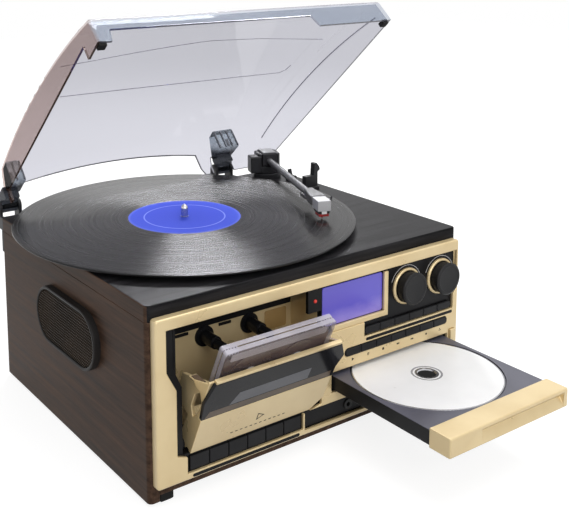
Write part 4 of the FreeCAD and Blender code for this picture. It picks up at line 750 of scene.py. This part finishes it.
bores = [hub_ring(hub_x, 0.0062) for hub_x in HUBS]
shell = bmesh.new()
for y0, y1 in ((TAPE_MID - TAPE_HALF, TAPE_MID - SEAM_HALF), (TAPE_MID + SEAM_HALF, TAPE_MID + TAPE_HALF)):
    half = bmesh.new()
    holed_plate(half, round_rect(*CASSETTE, 0.002, 4), bores, y0, y1)
    rim = [e for e in half.edges if len(e.link_faces) == 2 and e.calc_face_angle() > SQUARE_TURN]
    break_edges(half, rim, 0.5)
    merge_form(half, shell)
for y0, y1 in ((-0.1325, TAPE_MID - TAPE_HALF), (TAPE_MID + TAPE_HALF, -0.1205)):
    flat_plate(shell, [(-0.1000, 0.0664), (-0.0320, 0.0664), (-0.0350, 0.0819), (-0.0970, 0.0819)], y0, y1)
for face in shell.faces:
    at = face.calc_center_median()
    on_rim = at.z > RIM_LOW or at.x < CASSETTE[0] + RIM_WIDE or at.x > CASSETTE[1] - RIM_WIDE
    face.material_index = 1 if on_rim and abs(face.normal.y) < 0.9 else 0
place_form("cassette_shell", shell, [shell_clear, shell_edge], "door", "cassette_shell", "cassette",
           swing=DOOR_SWING)
sheet = bmesh.new()
for limits in ((-0.1095, -0.0225, 0.1198, 0.1262), (-0.1090, -0.0230, 0.0700, 0.0850)):
    flat_plate(sheet, round_rect(*limits, 0.0012, 3), SHEET_FRONT, SHEET_FRONT + 0.0004)
place_form("cassette_sheet", sheet, [sheet_grey], "door", "cassette_shell", swing=DOOR_SWING)
tape = bmesh.new()
holed_plate(tape, round_rect(-0.1135, -0.0185, 0.0700, 0.1215, 0.003, 4), bores, *about_tape(0.0024))
for hub_x, bore, wound in zip(HUBS, bores, (0.0205, 0.0175)):
    holed_plate(tape, arc_points(hub_x, HUB_HIGH, wound, 0, 354, 59), [bore], *about_tape(0.0030))
place_form("cassette_tape", tape, [tape_brown], "door", "cassette_shell", swing=DOOR_SWING)
hubs = bmesh.new()
for hub_x in HUBS:
    holed_plate(hubs, hub_ring(hub_x, 0.0061), [hub_ring(hub_x, 0.0047)], *about_tape(0.0038))
place_form("cassette_hubs", hubs, [hub_white], "door", "cassette_shell", swing=DOOR_SWING)
rib = bmesh.new()
eased_block(rib, *box_ends(0.3, 1.5, -129.6, -123.4, 126.6, 130.12), 0.25)
ribs = set_out(rib, [(left + i * RIB_STEP, 0, 0) for left in RIB_STARTS for i in range(5)], shell_edge)
place_form("cassette_ribs", ribs, [shell_edge], "door", "cassette_shell", swing=DOOR_SWING)

# Disc drawer: a moulded slate-grey tray with a round seat that slides on rails, its gold front screwed to it.
# Its faces that do not look up are painted black: painted shade on its sides and in its seat.
tray_slate = moulded_finish("tray_slate", (0.075, 0.075, 0.10), (0.10, 0.10, 0.13), 0.42, 260.0)
tray_form = eased_form("disc_tray", 0.4)
# Painted shade: every face of the tray that does not look up takes the black finish.
for face in tray_form.faces:
    face.material_index = 0 if face.normal.z > 0.3 else 1
place_form("tray", tray_form, [tray_slate, key_black], "drawer", "grey_plastic", "disc_tray")
place_eased("tray_face", "tray_front", 0.7, gold_paint, "drawer", "gold_plastic")

# Disc: a polycarbonate disc with a white printed face, a bare mirror band and a clear hub, laid in the seat
# of the tray.
DISC_PLACE = Vector((0.0745, -0.1745, 0.0543))
FACE_BAND = (0.0126, 0.0589)
HUB_BAND = (0.0096, 0.0110)
disc_white = smooth_finish("disc_white", (0.87, 0.87, 0.87), (0.91, 0.91, 0.91), 0.32)
disc_mirror = smooth_finish("disc_mirror", (0.42, 0.42, 0.44), (0.52, 0.52, 0.54), 0.18, Metallic=0.8)
disc_hub = smooth_finish("disc_hub", (0.30, 0.30, 0.31), (0.38, 0.38, 0.40), 0.15)
disc_shape = [(7.5, 0), (59.8, 0), (60, 0.25), (60, 0.95), (59.8, 1.2), (58.9, 1.2), (12.6, 1.2),
              (11.0, 1.12), (9.6, 1.2), (8.8, 1.2), (7.7, 1.2), (7.5, 1.0), (7.5, 0)]
form = turned_form(disc_shape, 160, Matrix.Translation(DISC_PLACE))
for face in form.faces:
    spot = face.calc_center_median() - DISC_PLACE
    radius = math.hypot(spot.x, spot.y)
    printed = FACE_BAND[0] < radius < FACE_BAND[1] or HUB_BAND[0] < radius < HUB_BAND[1]
    bare = radius > FACE_BAND[1] or radius < HUB_BAND[0]
    face.material_index = 0 if printed and spot.z > 0.001 else (1 if bare else 2)
place_form("disc", form, [disc_white, disc_mirror, disc_hub], "drawer", "disc_face", "compact_disc")

# Platter: a cast metal plate turned by a rubber belt on its inner rim, which a small motor drives through
# a steel pulley.
platter_metal = moulded_finish("platter_metal", (0.20, 0.20, 0.21), (0.28, 0.28, 0.29), 0.35, 300.0, 0.00005,
                               Metallic=0.7)
bare_steel = moulded_finish("bare_steel", (0.50, 0.50, 0.51), (0.60, 0.60, 0.61), 0.22, 300.0,
                            0.00004, Metallic=1.0)
belt_rubber = moulded_finish("belt_rubber", (0.012, 0.012, 0.012), (0.02, 0.02, 0.02), 0.7)
for name, finish in (("platter", platter_metal), ("turntable_motor", bare_steel),
                     ("motor_pulley", bare_steel), ("drive_belt", belt_rubber)):
    NODES[name].material_slots[0].material = finish

# Record: pressed black vinyl with a raised rim, grooved bands, a smooth run-out ring and a paper label. It
# lies on the platter over a turned steel pin.
SPIN = Vector((-0.0286, 0.0207, 0))
LABEL_EDGE = 0.0499
LABEL_LOW = 0.1555
LABEL_BLUE = (0.036, 0.060, 0.42)
record_shape = [(3.63, 154.2), (150.3, 154.2), (150.8, 154.8), (150.8, 155.6), (150.2, 156.0), (147.0, 156.0),
                (60.0, 156.0), (52.0, 156.0), (50.0, 155.7), (49.8, 155.72), (30.0, 155.72), (3.63, 155.72),
                (3.63, 154.2)]


def spin_radius(node, link):
    # Distance from the record's axis, in the piece's own place.
    place = node("ShaderNodeTexCoord")
    shift = node("ShaderNodeMapping", Location=(-SPIN.x, -SPIN.y, 0.0))
    link(place.outputs["Object"], shift.inputs["Vector"])
    flat = node("ShaderNodeVectorMath", operation="MULTIPLY")
    flat.inputs[1].default_value = (1, 1, 0)
    link(shift.outputs["Vector"], flat.inputs[0])
    radius = node("ShaderNodeVectorMath", operation="LENGTH")
    link(flat.outputs["Vector"], radius.inputs[0])
    return radius.outputs["Value"]


record_vinyl, node, link, shader = new_finish("record_vinyl", Anisotropic=0.9, Anisotropic_Rotation=0.25,
                                              Specular_IOR_Level=0.14)
rings = node("ShaderNodeTexNoise", noise_dimensions="1D", Scale=420.0, Detail=3.0, Roughness=0.7)
link(spin_radius(node, link), rings.inputs["W"])
grooves = rings.outputs["Fac"]
colour_ramp(node, link, grooves, shader, (0.35, (0.006, 0.006, 0.0065)), (0.7, (0.028, 0.027, 0.028)))
vary_gloss(node, link, grooves, shader, 0.20, 0.29)
tangent = node("ShaderNodeTangent", direction_type="UV_MAP", uv_map="groove_way")
link(tangent.outputs["Tangent"], shader.inputs["Tangent"])
label_paper, node, link, shader = new_finish("label_paper", Specular_IOR_Level=0.03)
ring_place = node("ShaderNodeMapRange", From_Max=0.05)
link(spin_radius(node, link), ring_place.inputs["Value"])
colour_ramp(node, link, ring_place.outputs["Result"], shader, (0.0, (0.030, 0.050, 0.36)), (0.70, LABEL_BLUE),
            (0.72, (0.20, 0.25, 0.60)), (0.735, LABEL_BLUE), (0.95, (0.040, 0.068, 0.45)),
            (0.975, (0.08, 0.11, 0.50)))
fibre = grain_map(node, link, 700.0, 5.0, 0.6)
vary_gloss(node, link, fibre, shader, 0.62, 0.75)
relief(node, link, fibre, shader, 0.15, 0.00005)
form = turned_form(record_shape, 256, Matrix.Translation(SPIN))
way = form.loops.layers.uv.new("groove_way")
for face in form.faces:
    middle = face.calc_center_median() - SPIN
    face.material_index = 1 if math.hypot(middle.x, middle.y) < LABEL_EDGE and middle.z > LABEL_LOW else 0
    first = math.atan2(middle.y, middle.x)
    for loop in face.loops:
        spot = loop.vert.co - SPIN
        angle = math.atan2(spot.y, spot.x)
        angle += 2 * math.pi * round((first - angle) / (2 * math.pi))
        loop[way].uv = (angle / (2 * math.pi), math.hypot(spot.x, spot.y) * 5)
place_form("record_disc", form, [record_vinyl, label_paper], "turntable", "vinyl", "record")
spindle_shape = [(0, 119), (4, 119), (4, 142.4), (5, 142.4), (5, 154.2), (3.58, 154.2), (3.58, 156.2),
                 (3.2, 156.3), (3.2, 163.0), (2.9, 164.4), (2.3, 165.6), (1.4, 166.5), (0.7, 166.9), (0, 167)]
form = turned_form(spindle_shape, 48, Matrix.Translation(SPIN))
place_form("spindle_pin", form, [bare_steel], "turntable", "metal", "record_spindle", crease=30)

# Tonearm: a black pivot block on a round moulded stand, a grey tube and headshell that swing and lift on it,
# and a small cue lever beside it.
ARM_PIVOT = Vector((0.130, 0.107, 0))
ARM_PLACE = Matrix.Translation(ARM_PIVOT) @ Matrix.Rotation(math.radians(-21.6), 4, "Z")
PIVOT_REACH = 0.0175
arm_black = moulded_finish("arm_black", (0.012, 0.012, 0.013), (0.022, 0.022, 0.025), 0.34, 300.0, shine=0.2)
arm_grey = moulded_finish("arm_grey", (0.070, 0.070, 0.074), (0.105, 0.105, 0.110), 0.36, 300.0, Metallic=0.2)
place_eased("arm_stand", "tonearm_base", 0.5, arm_black, "cabinet", "black_plastic")
place_eased("cue_handle", "cue_lever", 0.3, arm_black, "cue", "black_plastic")
place_eased("pivot_block", "arm_yoke", 0.6, arm_black, "arm_swivel", "black_plastic")
arm_form = eased_form("tonearm", 0.4)
for face in arm_form.faces:
    spot = face.calc_center_median() - ARM_PIVOT
    face.material_index = 1 if math.hypot(spot.x, spot.y) < PIVOT_REACH else 0
place_form("arm_tube", arm_form, [arm_grey, arm_black], "arm", "grey_plastic", "tonearm")


def place_blocks(name, finish, slot, blocks, *nodes):
    # Places one piece of the arm made of blocks; a block is its limits and its ease, all in millimetres.
    form = bmesh.new()
    for *limits, ease in blocks:
        eased_block(form, *box_ends(*limits), ease)
    place_form(name, form, [finish], "arm", slot, *nodes, swing=ARM_PLACE)


place_blocks("arm_cap", arm_grey, "grey_plastic",
             [(-6.8, 6.8, -9.5, 10.5, 177.4, 178.15, 0.25), (-4.6, 4.6, -142.0, -128.0, 164.2, 167.6, 0.4)])

# Cartridge: a pale grey body slid into the headshell, a black stylus holder with a white middle and a red
# stylus bar under it; a curled finger lift stands out at the side of the headshell.
LIFT_HALF = 0.5
LIFT_ENDS = (-0.1662, -0.1625)
head_grey = moulded_finish("head_grey", (0.44, 0.44, 0.46), (0.52, 0.52, 0.54), 0.4, 300.0)
stylus_red = moulded_finish("stylus_red", (0.30, 0.012, 0.012), (0.40, 0.02, 0.02), 0.35, 300.0)
place_blocks("cartridge_body", head_grey, "grey_plastic", [(-6.0, 6.0, -183.0, -167.0, 164.0, 173.5, 0.6)],
             "cartridge")
place_blocks("stylus_holder", arm_black, "black_plastic", [(-5.0, 5.0, -182.0, -168.0, 161.6, 164.1, 0.3)])
place_blocks("stylus_clip", hub_white, "grey_plastic", [(-2.4, 2.4, -182.5, -175.0, 161.4, 164.05, 0.3)])
place_blocks("stylus_bar", stylus_red, "grey_plastic",
             [(-4.6, 4.6, -181.5, -171.0, 159.0, 161.5, 0.4),
              (-0.5, 0.5, -176.6, -175.4, 156.4, 159.2, 0.15)])
lift_path = [(6.6, 168.6), (9.0, 168.4), (11.0, 168.9), (12.4, 170.0), (13.0, 171.3)]
strip = [(x, z + LIFT_HALF) for x, z in lift_path] + [(x, z - LIFT_HALF) for x, z in reversed(lift_path)]
curl = bmesh.new()
flat_plate(curl, [(x * MM, z * MM) for x, z in strip], *LIFT_ENDS)
place_form("finger_curl", curl, [arm_black], "arm", "black_plastic", crease=50, swing=ARM_PLACE)

# Dust cover: one vacuum-formed smoky clear shell with turned-down sides, cut away where the record stands
# over the cabinet. Drawn shut and swung up on its rear hinges.
COVER_SWING = swing_about(0.141, 0.157, -42.1)
WALL_OUTER = -0.1470
WALL_INNER = -0.1445
THIN = 0.0014
FRONT_DEEP = -0.110
LIP_LOW = 0.170
ARCH_DEEP = 0.117
EDGE_TOP = 0.181
EDGE_SIDE = 0.1484


def clear_finish(name, middle, side, through, index):
    # Clear plastic, coloured towards the side colour on its left wall: painted shade on that wall.
    finish, node, link, shader = new_finish(name, Transmission_Weight=through, IOR=index, Coat_Weight=0.2,
                                            Coat_Roughness=0.05)
    vary_gloss(node, link, grain_map(node, link, 30.0, 3.0, 0.5), shader, 0.03, 0.07)
    level = level_along(node, link, "X", WALL_OUTER, WALL_INNER)
    colour_ramp(node, link, level, shader, (0.0, side), (1.0, middle))
    return finish


cover_clear = clear_finish("cover_clear", (0.56, 0.56, 0.61), (0.58, 0.44, 0.39), 1.0, 1.03)
# The front wall is given a lighter, bluer copy of the clear plastic: painted light.
cover_front = clear_finish("cover_front", (0.65, 0.72, 0.80), (0.55, 0.50, 0.50), 1.0, 1.03)
cover_edge = clear_finish("cover_edge", (0.10, 0.10, 0.12), (0.06, 0.035, 0.025), 0.4, 1.3)
cover_form = eased_form("dust_cover", 0)
cover_form.transform(COVER_SWING.inverted())
cover_form.normal_update()
for face in cover_form.faces:
    # A cut edge is a narrow face below the crown, square to an axis or in the rear arch, not on the walls.
    at = face.calc_center_median()
    thin = face.calc_area() / face.calc_perimeter() < THIN
    square_on = max(abs(n) for n in face.normal) > 0.985
    arch = at.y > ARCH_DEEP and abs(face.normal.y) < 0.3 and abs(face.normal.z) > 0.2
    cut_edge = thin and at.z < EDGE_TOP and (square_on or arch) and abs(at.x) < EDGE_SIDE
    face.material_index = 1 if cut_edge and not (at.y < FRONT_DEEP and at.z > LIP_LOW) else 0
    # Faces of the front wall take the lighter front copy: painted light.
    if not thin and abs(face.normal.y) > 0.9 and at.y < FRONT_DEEP:
        face.material_index = 2
cover_shell = place_form("cover_shell", cover_form, [cover_clear, cover_edge, cover_front], "cover",
                         "clear_cover", "dust_cover", swing=COVER_SWING)
cover_shell.visible_shadow = False


def crown_height(y):
    # Height of the cover's curved top above the shelf at a depth y, both in millimetres, when it is shut.
    (ya, za), (yb, zb), (yc, zc) = (-114.0, 176.0), (52.0, 194.0), (124.0, 188.5)
    d = 2 * (ya * (zb - zc) + yb * (zc - za) + yc * (za - zb))
    qa, qb, qc = ya * ya + za * za, yb * yb + zb * zb, yc * yc + zc * zc
    mid_y = (qa * (zb - zc) + qb * (zc - za) + qc * (za - zb)) / d
    mid_z = (qa * (yc - yb) + qb * (ya - yc) + qc * (yb - ya)) / d
    return mid_z + math.sqrt((ya - mid_y) ** 2 + (za - mid_z) ** 2 - (y - mid_y) ** 2)


CREASES = [[(-140, -36), (-81, -48.6), (-48.5, -54.7), (-15, -59.6), (-3, -60.3), (52, -56.3), (134, -44)],
           [(-122, 16), (-60, 15.5), (0, 15.5), (60, 15.5), (118, 16), (123.5, 12), (125, 3.3)]]
LINE_HALF = 0.45
LINE_DEEP = 0.3
SHELL_THICK = 2.25
WALL_INSIDE = 146.25
WALL_DROP = 13.0
WALL_LINE = 1.3
# The bends of the shell are drawn as opaque grey strips under the crown and along one wall: painted shade
# lines.
crease_shade_strips = bmesh.new()
wall_line = [(y, crown_height(y) - WALL_DROP) for y in range(-104, 121, 8)]
for (ya, za), (yb, zb) in zip(wall_line, wall_line[1:]):
    band = ((ya, za), (yb, zb), (yb, zb - WALL_LINE), (ya, za - WALL_LINE))
    ends = [[(x * MM, y * MM, z * MM) for y, z in band] for x in (WALL_INSIDE - LINE_DEEP, WALL_INSIDE)]
    eased_block(crease_shade_strips, *ends, 0.04)
for way in CREASES:
    fine = []
    for (x0, y0), (x1, y1) in zip(way, way[1:]):
        fine += [(x0 + (x1 - x0) * i / 6, y0 + (y1 - y0) * i / 6) for i in range(6)]
    fine.append(way[-1])
    rows = []
    for i, (x, y) in enumerate(fine):
        ax, ay = fine[max(i - 1, 0)]
        bx, by = fine[min(i + 1, len(fine) - 1)]
        along = math.hypot(bx - ax, by - ay)
        ox, oy = -(by - ay) / along * LINE_HALF, (bx - ax) / along * LINE_HALF
        high = [(cx, cy, crown_height(cy) - SHELL_THICK) for cx, cy in ((x + ox, y + oy), (x - ox, y - oy))]
        low = [(cx, cy, cz - LINE_DEEP) for cx, cy, cz in reversed(high)]
        rows.append([crease_shade_strips.verts.new((cx * MM, cy * MM, cz * MM)) for cx, cy, cz in high + low])
    for near, far in zip(rows, rows[1:]):
        join_rings(crease_shade_strips, near, far)
    crease_shade_strips.faces.new(rows[0])
    crease_shade_strips.faces.new(list(reversed(rows[-1])))
bmesh.ops.recalc_face_normals(crease_shade_strips, faces=crease_shade_strips.faces)
crease_smoke = moulded_finish("crease_smoke", (0.30, 0.29, 0.34), (0.36, 0.35, 0.40), 0.3)
place_form("cover_creases", crease_shade_strips, [crease_smoke], "cover", "clear_cover", swing=COVER_SWING)

# Hinges: smoky ribbed sockets inside the cover, each over a black spring hinge on the cabinet's back; small
# rubber pads in the front corners keep the cover off the deck.
HINGES = (-145.0, 95.0)
RIB_OFFSETS = (-11.2, -3.6, 4.0, 11.0)
RIB_LEFTMOST = -145.8
DARK_TO_PALE_RISE = (0.176, 0.184)
# The sockets' colour runs from near black below this band to pale blue-grey above it: darker towards the
# bottom.
socket_smoke, node, link, shader = new_finish("socket_smoke", Transmission_Weight=0.85, IOR=1.15)
level = level_along(node, link, "Z", *DARK_TO_PALE_RISE)
colour_ramp(node, link, level, shader, (0.0, (0.035, 0.038, 0.046)), (1.0, (0.46, 0.52, 0.58)))
vary_gloss(node, link, grain_map(node, link, 60.0, 3.0, 0.5), shader, 0.10, 0.20)
rib_smoke = moulded_finish("rib_smoke", (0.045, 0.048, 0.060), (0.070, 0.074, 0.088), 0.25, 200.0)
place_eased("cover_sockets", "hinge_sockets", 0.5, socket_smoke, "cover", "clear_cover")
rib = bmesh.new()
eased_block(rib, *box_ends(-0.7, 0.7, 111.0, 113.0, 167.0, 186.0), 0.2)
rib_lines = [hinge_x + off for hinge_x in HINGES for off in RIB_OFFSETS if hinge_x + off > RIB_LEFTMOST]
ribs = set_out(rib, [(x * MM, 0, 0) for x in rib_lines], rib_smoke)
for hinge_x in HINGES:
    eased_block(ribs, *box_ends(hinge_x - 1.2, hinge_x + 1.6, 111.4, 113.0, 168.0, 176.0), 0.2)
place_form("socket_ribs", ribs, [rib_smoke], "cover", "clear_cover", swing=COVER_SWING)
place_eased("cover_hinges", "hinge_brackets", 0.5, arm_black, "cabinet", "black_plastic")
place_eased("cover_bumpers", "lid_bumpers", 0.6, foot_rubber, "cover", "rubber")

# Studio: a white floor, a white surround, a large soft lamp above, one in front and a small one behind for
# the streak on the record, and the camera where the photograph was taken.
CAMERA_PLACE = (-0.46348, -0.66736, 0.40034)
CAMERA_TURN = (-34.38, 8.4, -0.5)
FOCAL_PIXELS = 943.66
CENTRE_PIXEL = (216.62, 77.58)
FRAME_WIDE = 569
FRAME_TALL = 511
SKY_STRENGTH = 0.42
FLOOR_GLOW = 0.84
FLOOR_HALF = 3.0
scene = bpy.context.scene
scene.view_settings.view_transform = "Standard"
cam_data = bpy.data.cameras.new("camera")
cam_data.sensor_width = 36.0
cam_data.lens = FOCAL_PIXELS / FRAME_WIDE * cam_data.sensor_width
cam_data.shift_x = (FRAME_WIDE / 2 - CENTRE_PIXEL[0]) / FRAME_WIDE
cam_data.shift_y = (CENTRE_PIXEL[1] - FRAME_TALL / 2) / FRAME_WIDE
cam_data.clip_start = 0.01
camera = bpy.data.objects.new("camera", cam_data)
scene.collection.objects.link(camera)
scene.camera = camera
azimuth, elevation, roll = (math.radians(a) for a in CAMERA_TURN)
level = math.cos(elevation)
back = Vector((math.sin(azimuth) * level, -math.cos(azimuth) * level, math.sin(elevation)))
aim = back.to_track_quat("Z", "Y").to_matrix()
camera.matrix_world = Matrix.Translation(CAMERA_PLACE) @ (aim @ Matrix.Rotation(roll, 3, "Z")).to_4x4()


def shown_white(node, link):
    # 1 for the rays of the camera, of mirrors and of clear pieces, which see white; 0 for the rest.
    rays = node("ShaderNodeLightPath")
    direct = node("ShaderNodeMath", operation="MAXIMUM")
    link(rays.outputs["Is Camera Ray"], direct.inputs[0])
    link(rays.outputs["Is Glossy Ray"], direct.inputs[1])
    shown = node("ShaderNodeMath", operation="MAXIMUM")
    link(direct.outputs[0], shown.inputs[0])
    link(rays.outputs["Is Transmission Ray"], shown.inputs[1])
    return shown.outputs[0]


world = bpy.data.worlds.new("studio")
scene.world = world
world.use_nodes = True
node, link = tree_tools(world.node_tree)
plain = world.node_tree.nodes["Background"]
plain.inputs["Color"].default_value = (1, 1, 1, 1)
plain.inputs["Strength"].default_value = SKY_STRENGTH
seen = node("ShaderNodeBackground", Color=(1, 1, 1, 1), Strength=1.0)
choose = node("ShaderNodeMixShader")
link(shown_white(node, link), choose.inputs["Fac"])
link(plain.outputs[0], choose.inputs[1])
link(seen.outputs[0], choose.inputs[2])
link(choose.outputs[0], world.node_tree.nodes["World Output"].inputs["Surface"])

floor_white, node, link, shader = new_finish("floor_white", Base_Color=(0.28, 0.28, 0.28, 1), Roughness=0.9,
                                             Emission_Color=(1, 1, 1, 1))
lift = node("ShaderNodeMath", operation="MULTIPLY")
lift.inputs[1].default_value = FLOOR_GLOW
link(shown_white(node, link), lift.inputs[0])
link(lift.outputs[0], shader.inputs["Emission Strength"])
floor_form = bmesh.new()
bmesh.ops.create_grid(floor_form, x_segments=4, y_segments=4, size=FLOOR_HALF)
floor_mesh = to_mesh(floor_form, "floor")
floor_mesh.materials.append(floor_white)
floor = bpy.data.objects.new("floor", floor_mesh)
scene.collection.objects.link(floor)
LAMP_AIM = Vector((0, 0, 0.1))
for name, spot, size, power in (("lamp_above", (0.3, -0.3, 1.5), 1.2, 12.0),
                                ("lamp_front", (-0.5, -1.9, 1.0), 1.0, 16.0),
                                ("lamp_behind", (0.76, 1.12, 1.22), 0.35, 15.0)):
    lamp_data = bpy.data.lights.new(name, "AREA")
    lamp_data.size = size
    lamp_data.energy = power
    lamp = bpy.data.objects.new(name, lamp_data)
    scene.collection.objects.link(lamp)
    turn = (Vector(spot) - LAMP_AIM).to_track_quat("Z", "Y").to_matrix().to_4x4()
    lamp.matrix_world = Matrix.Translation(spot) @ turn

bpy.context.view_layer.update()
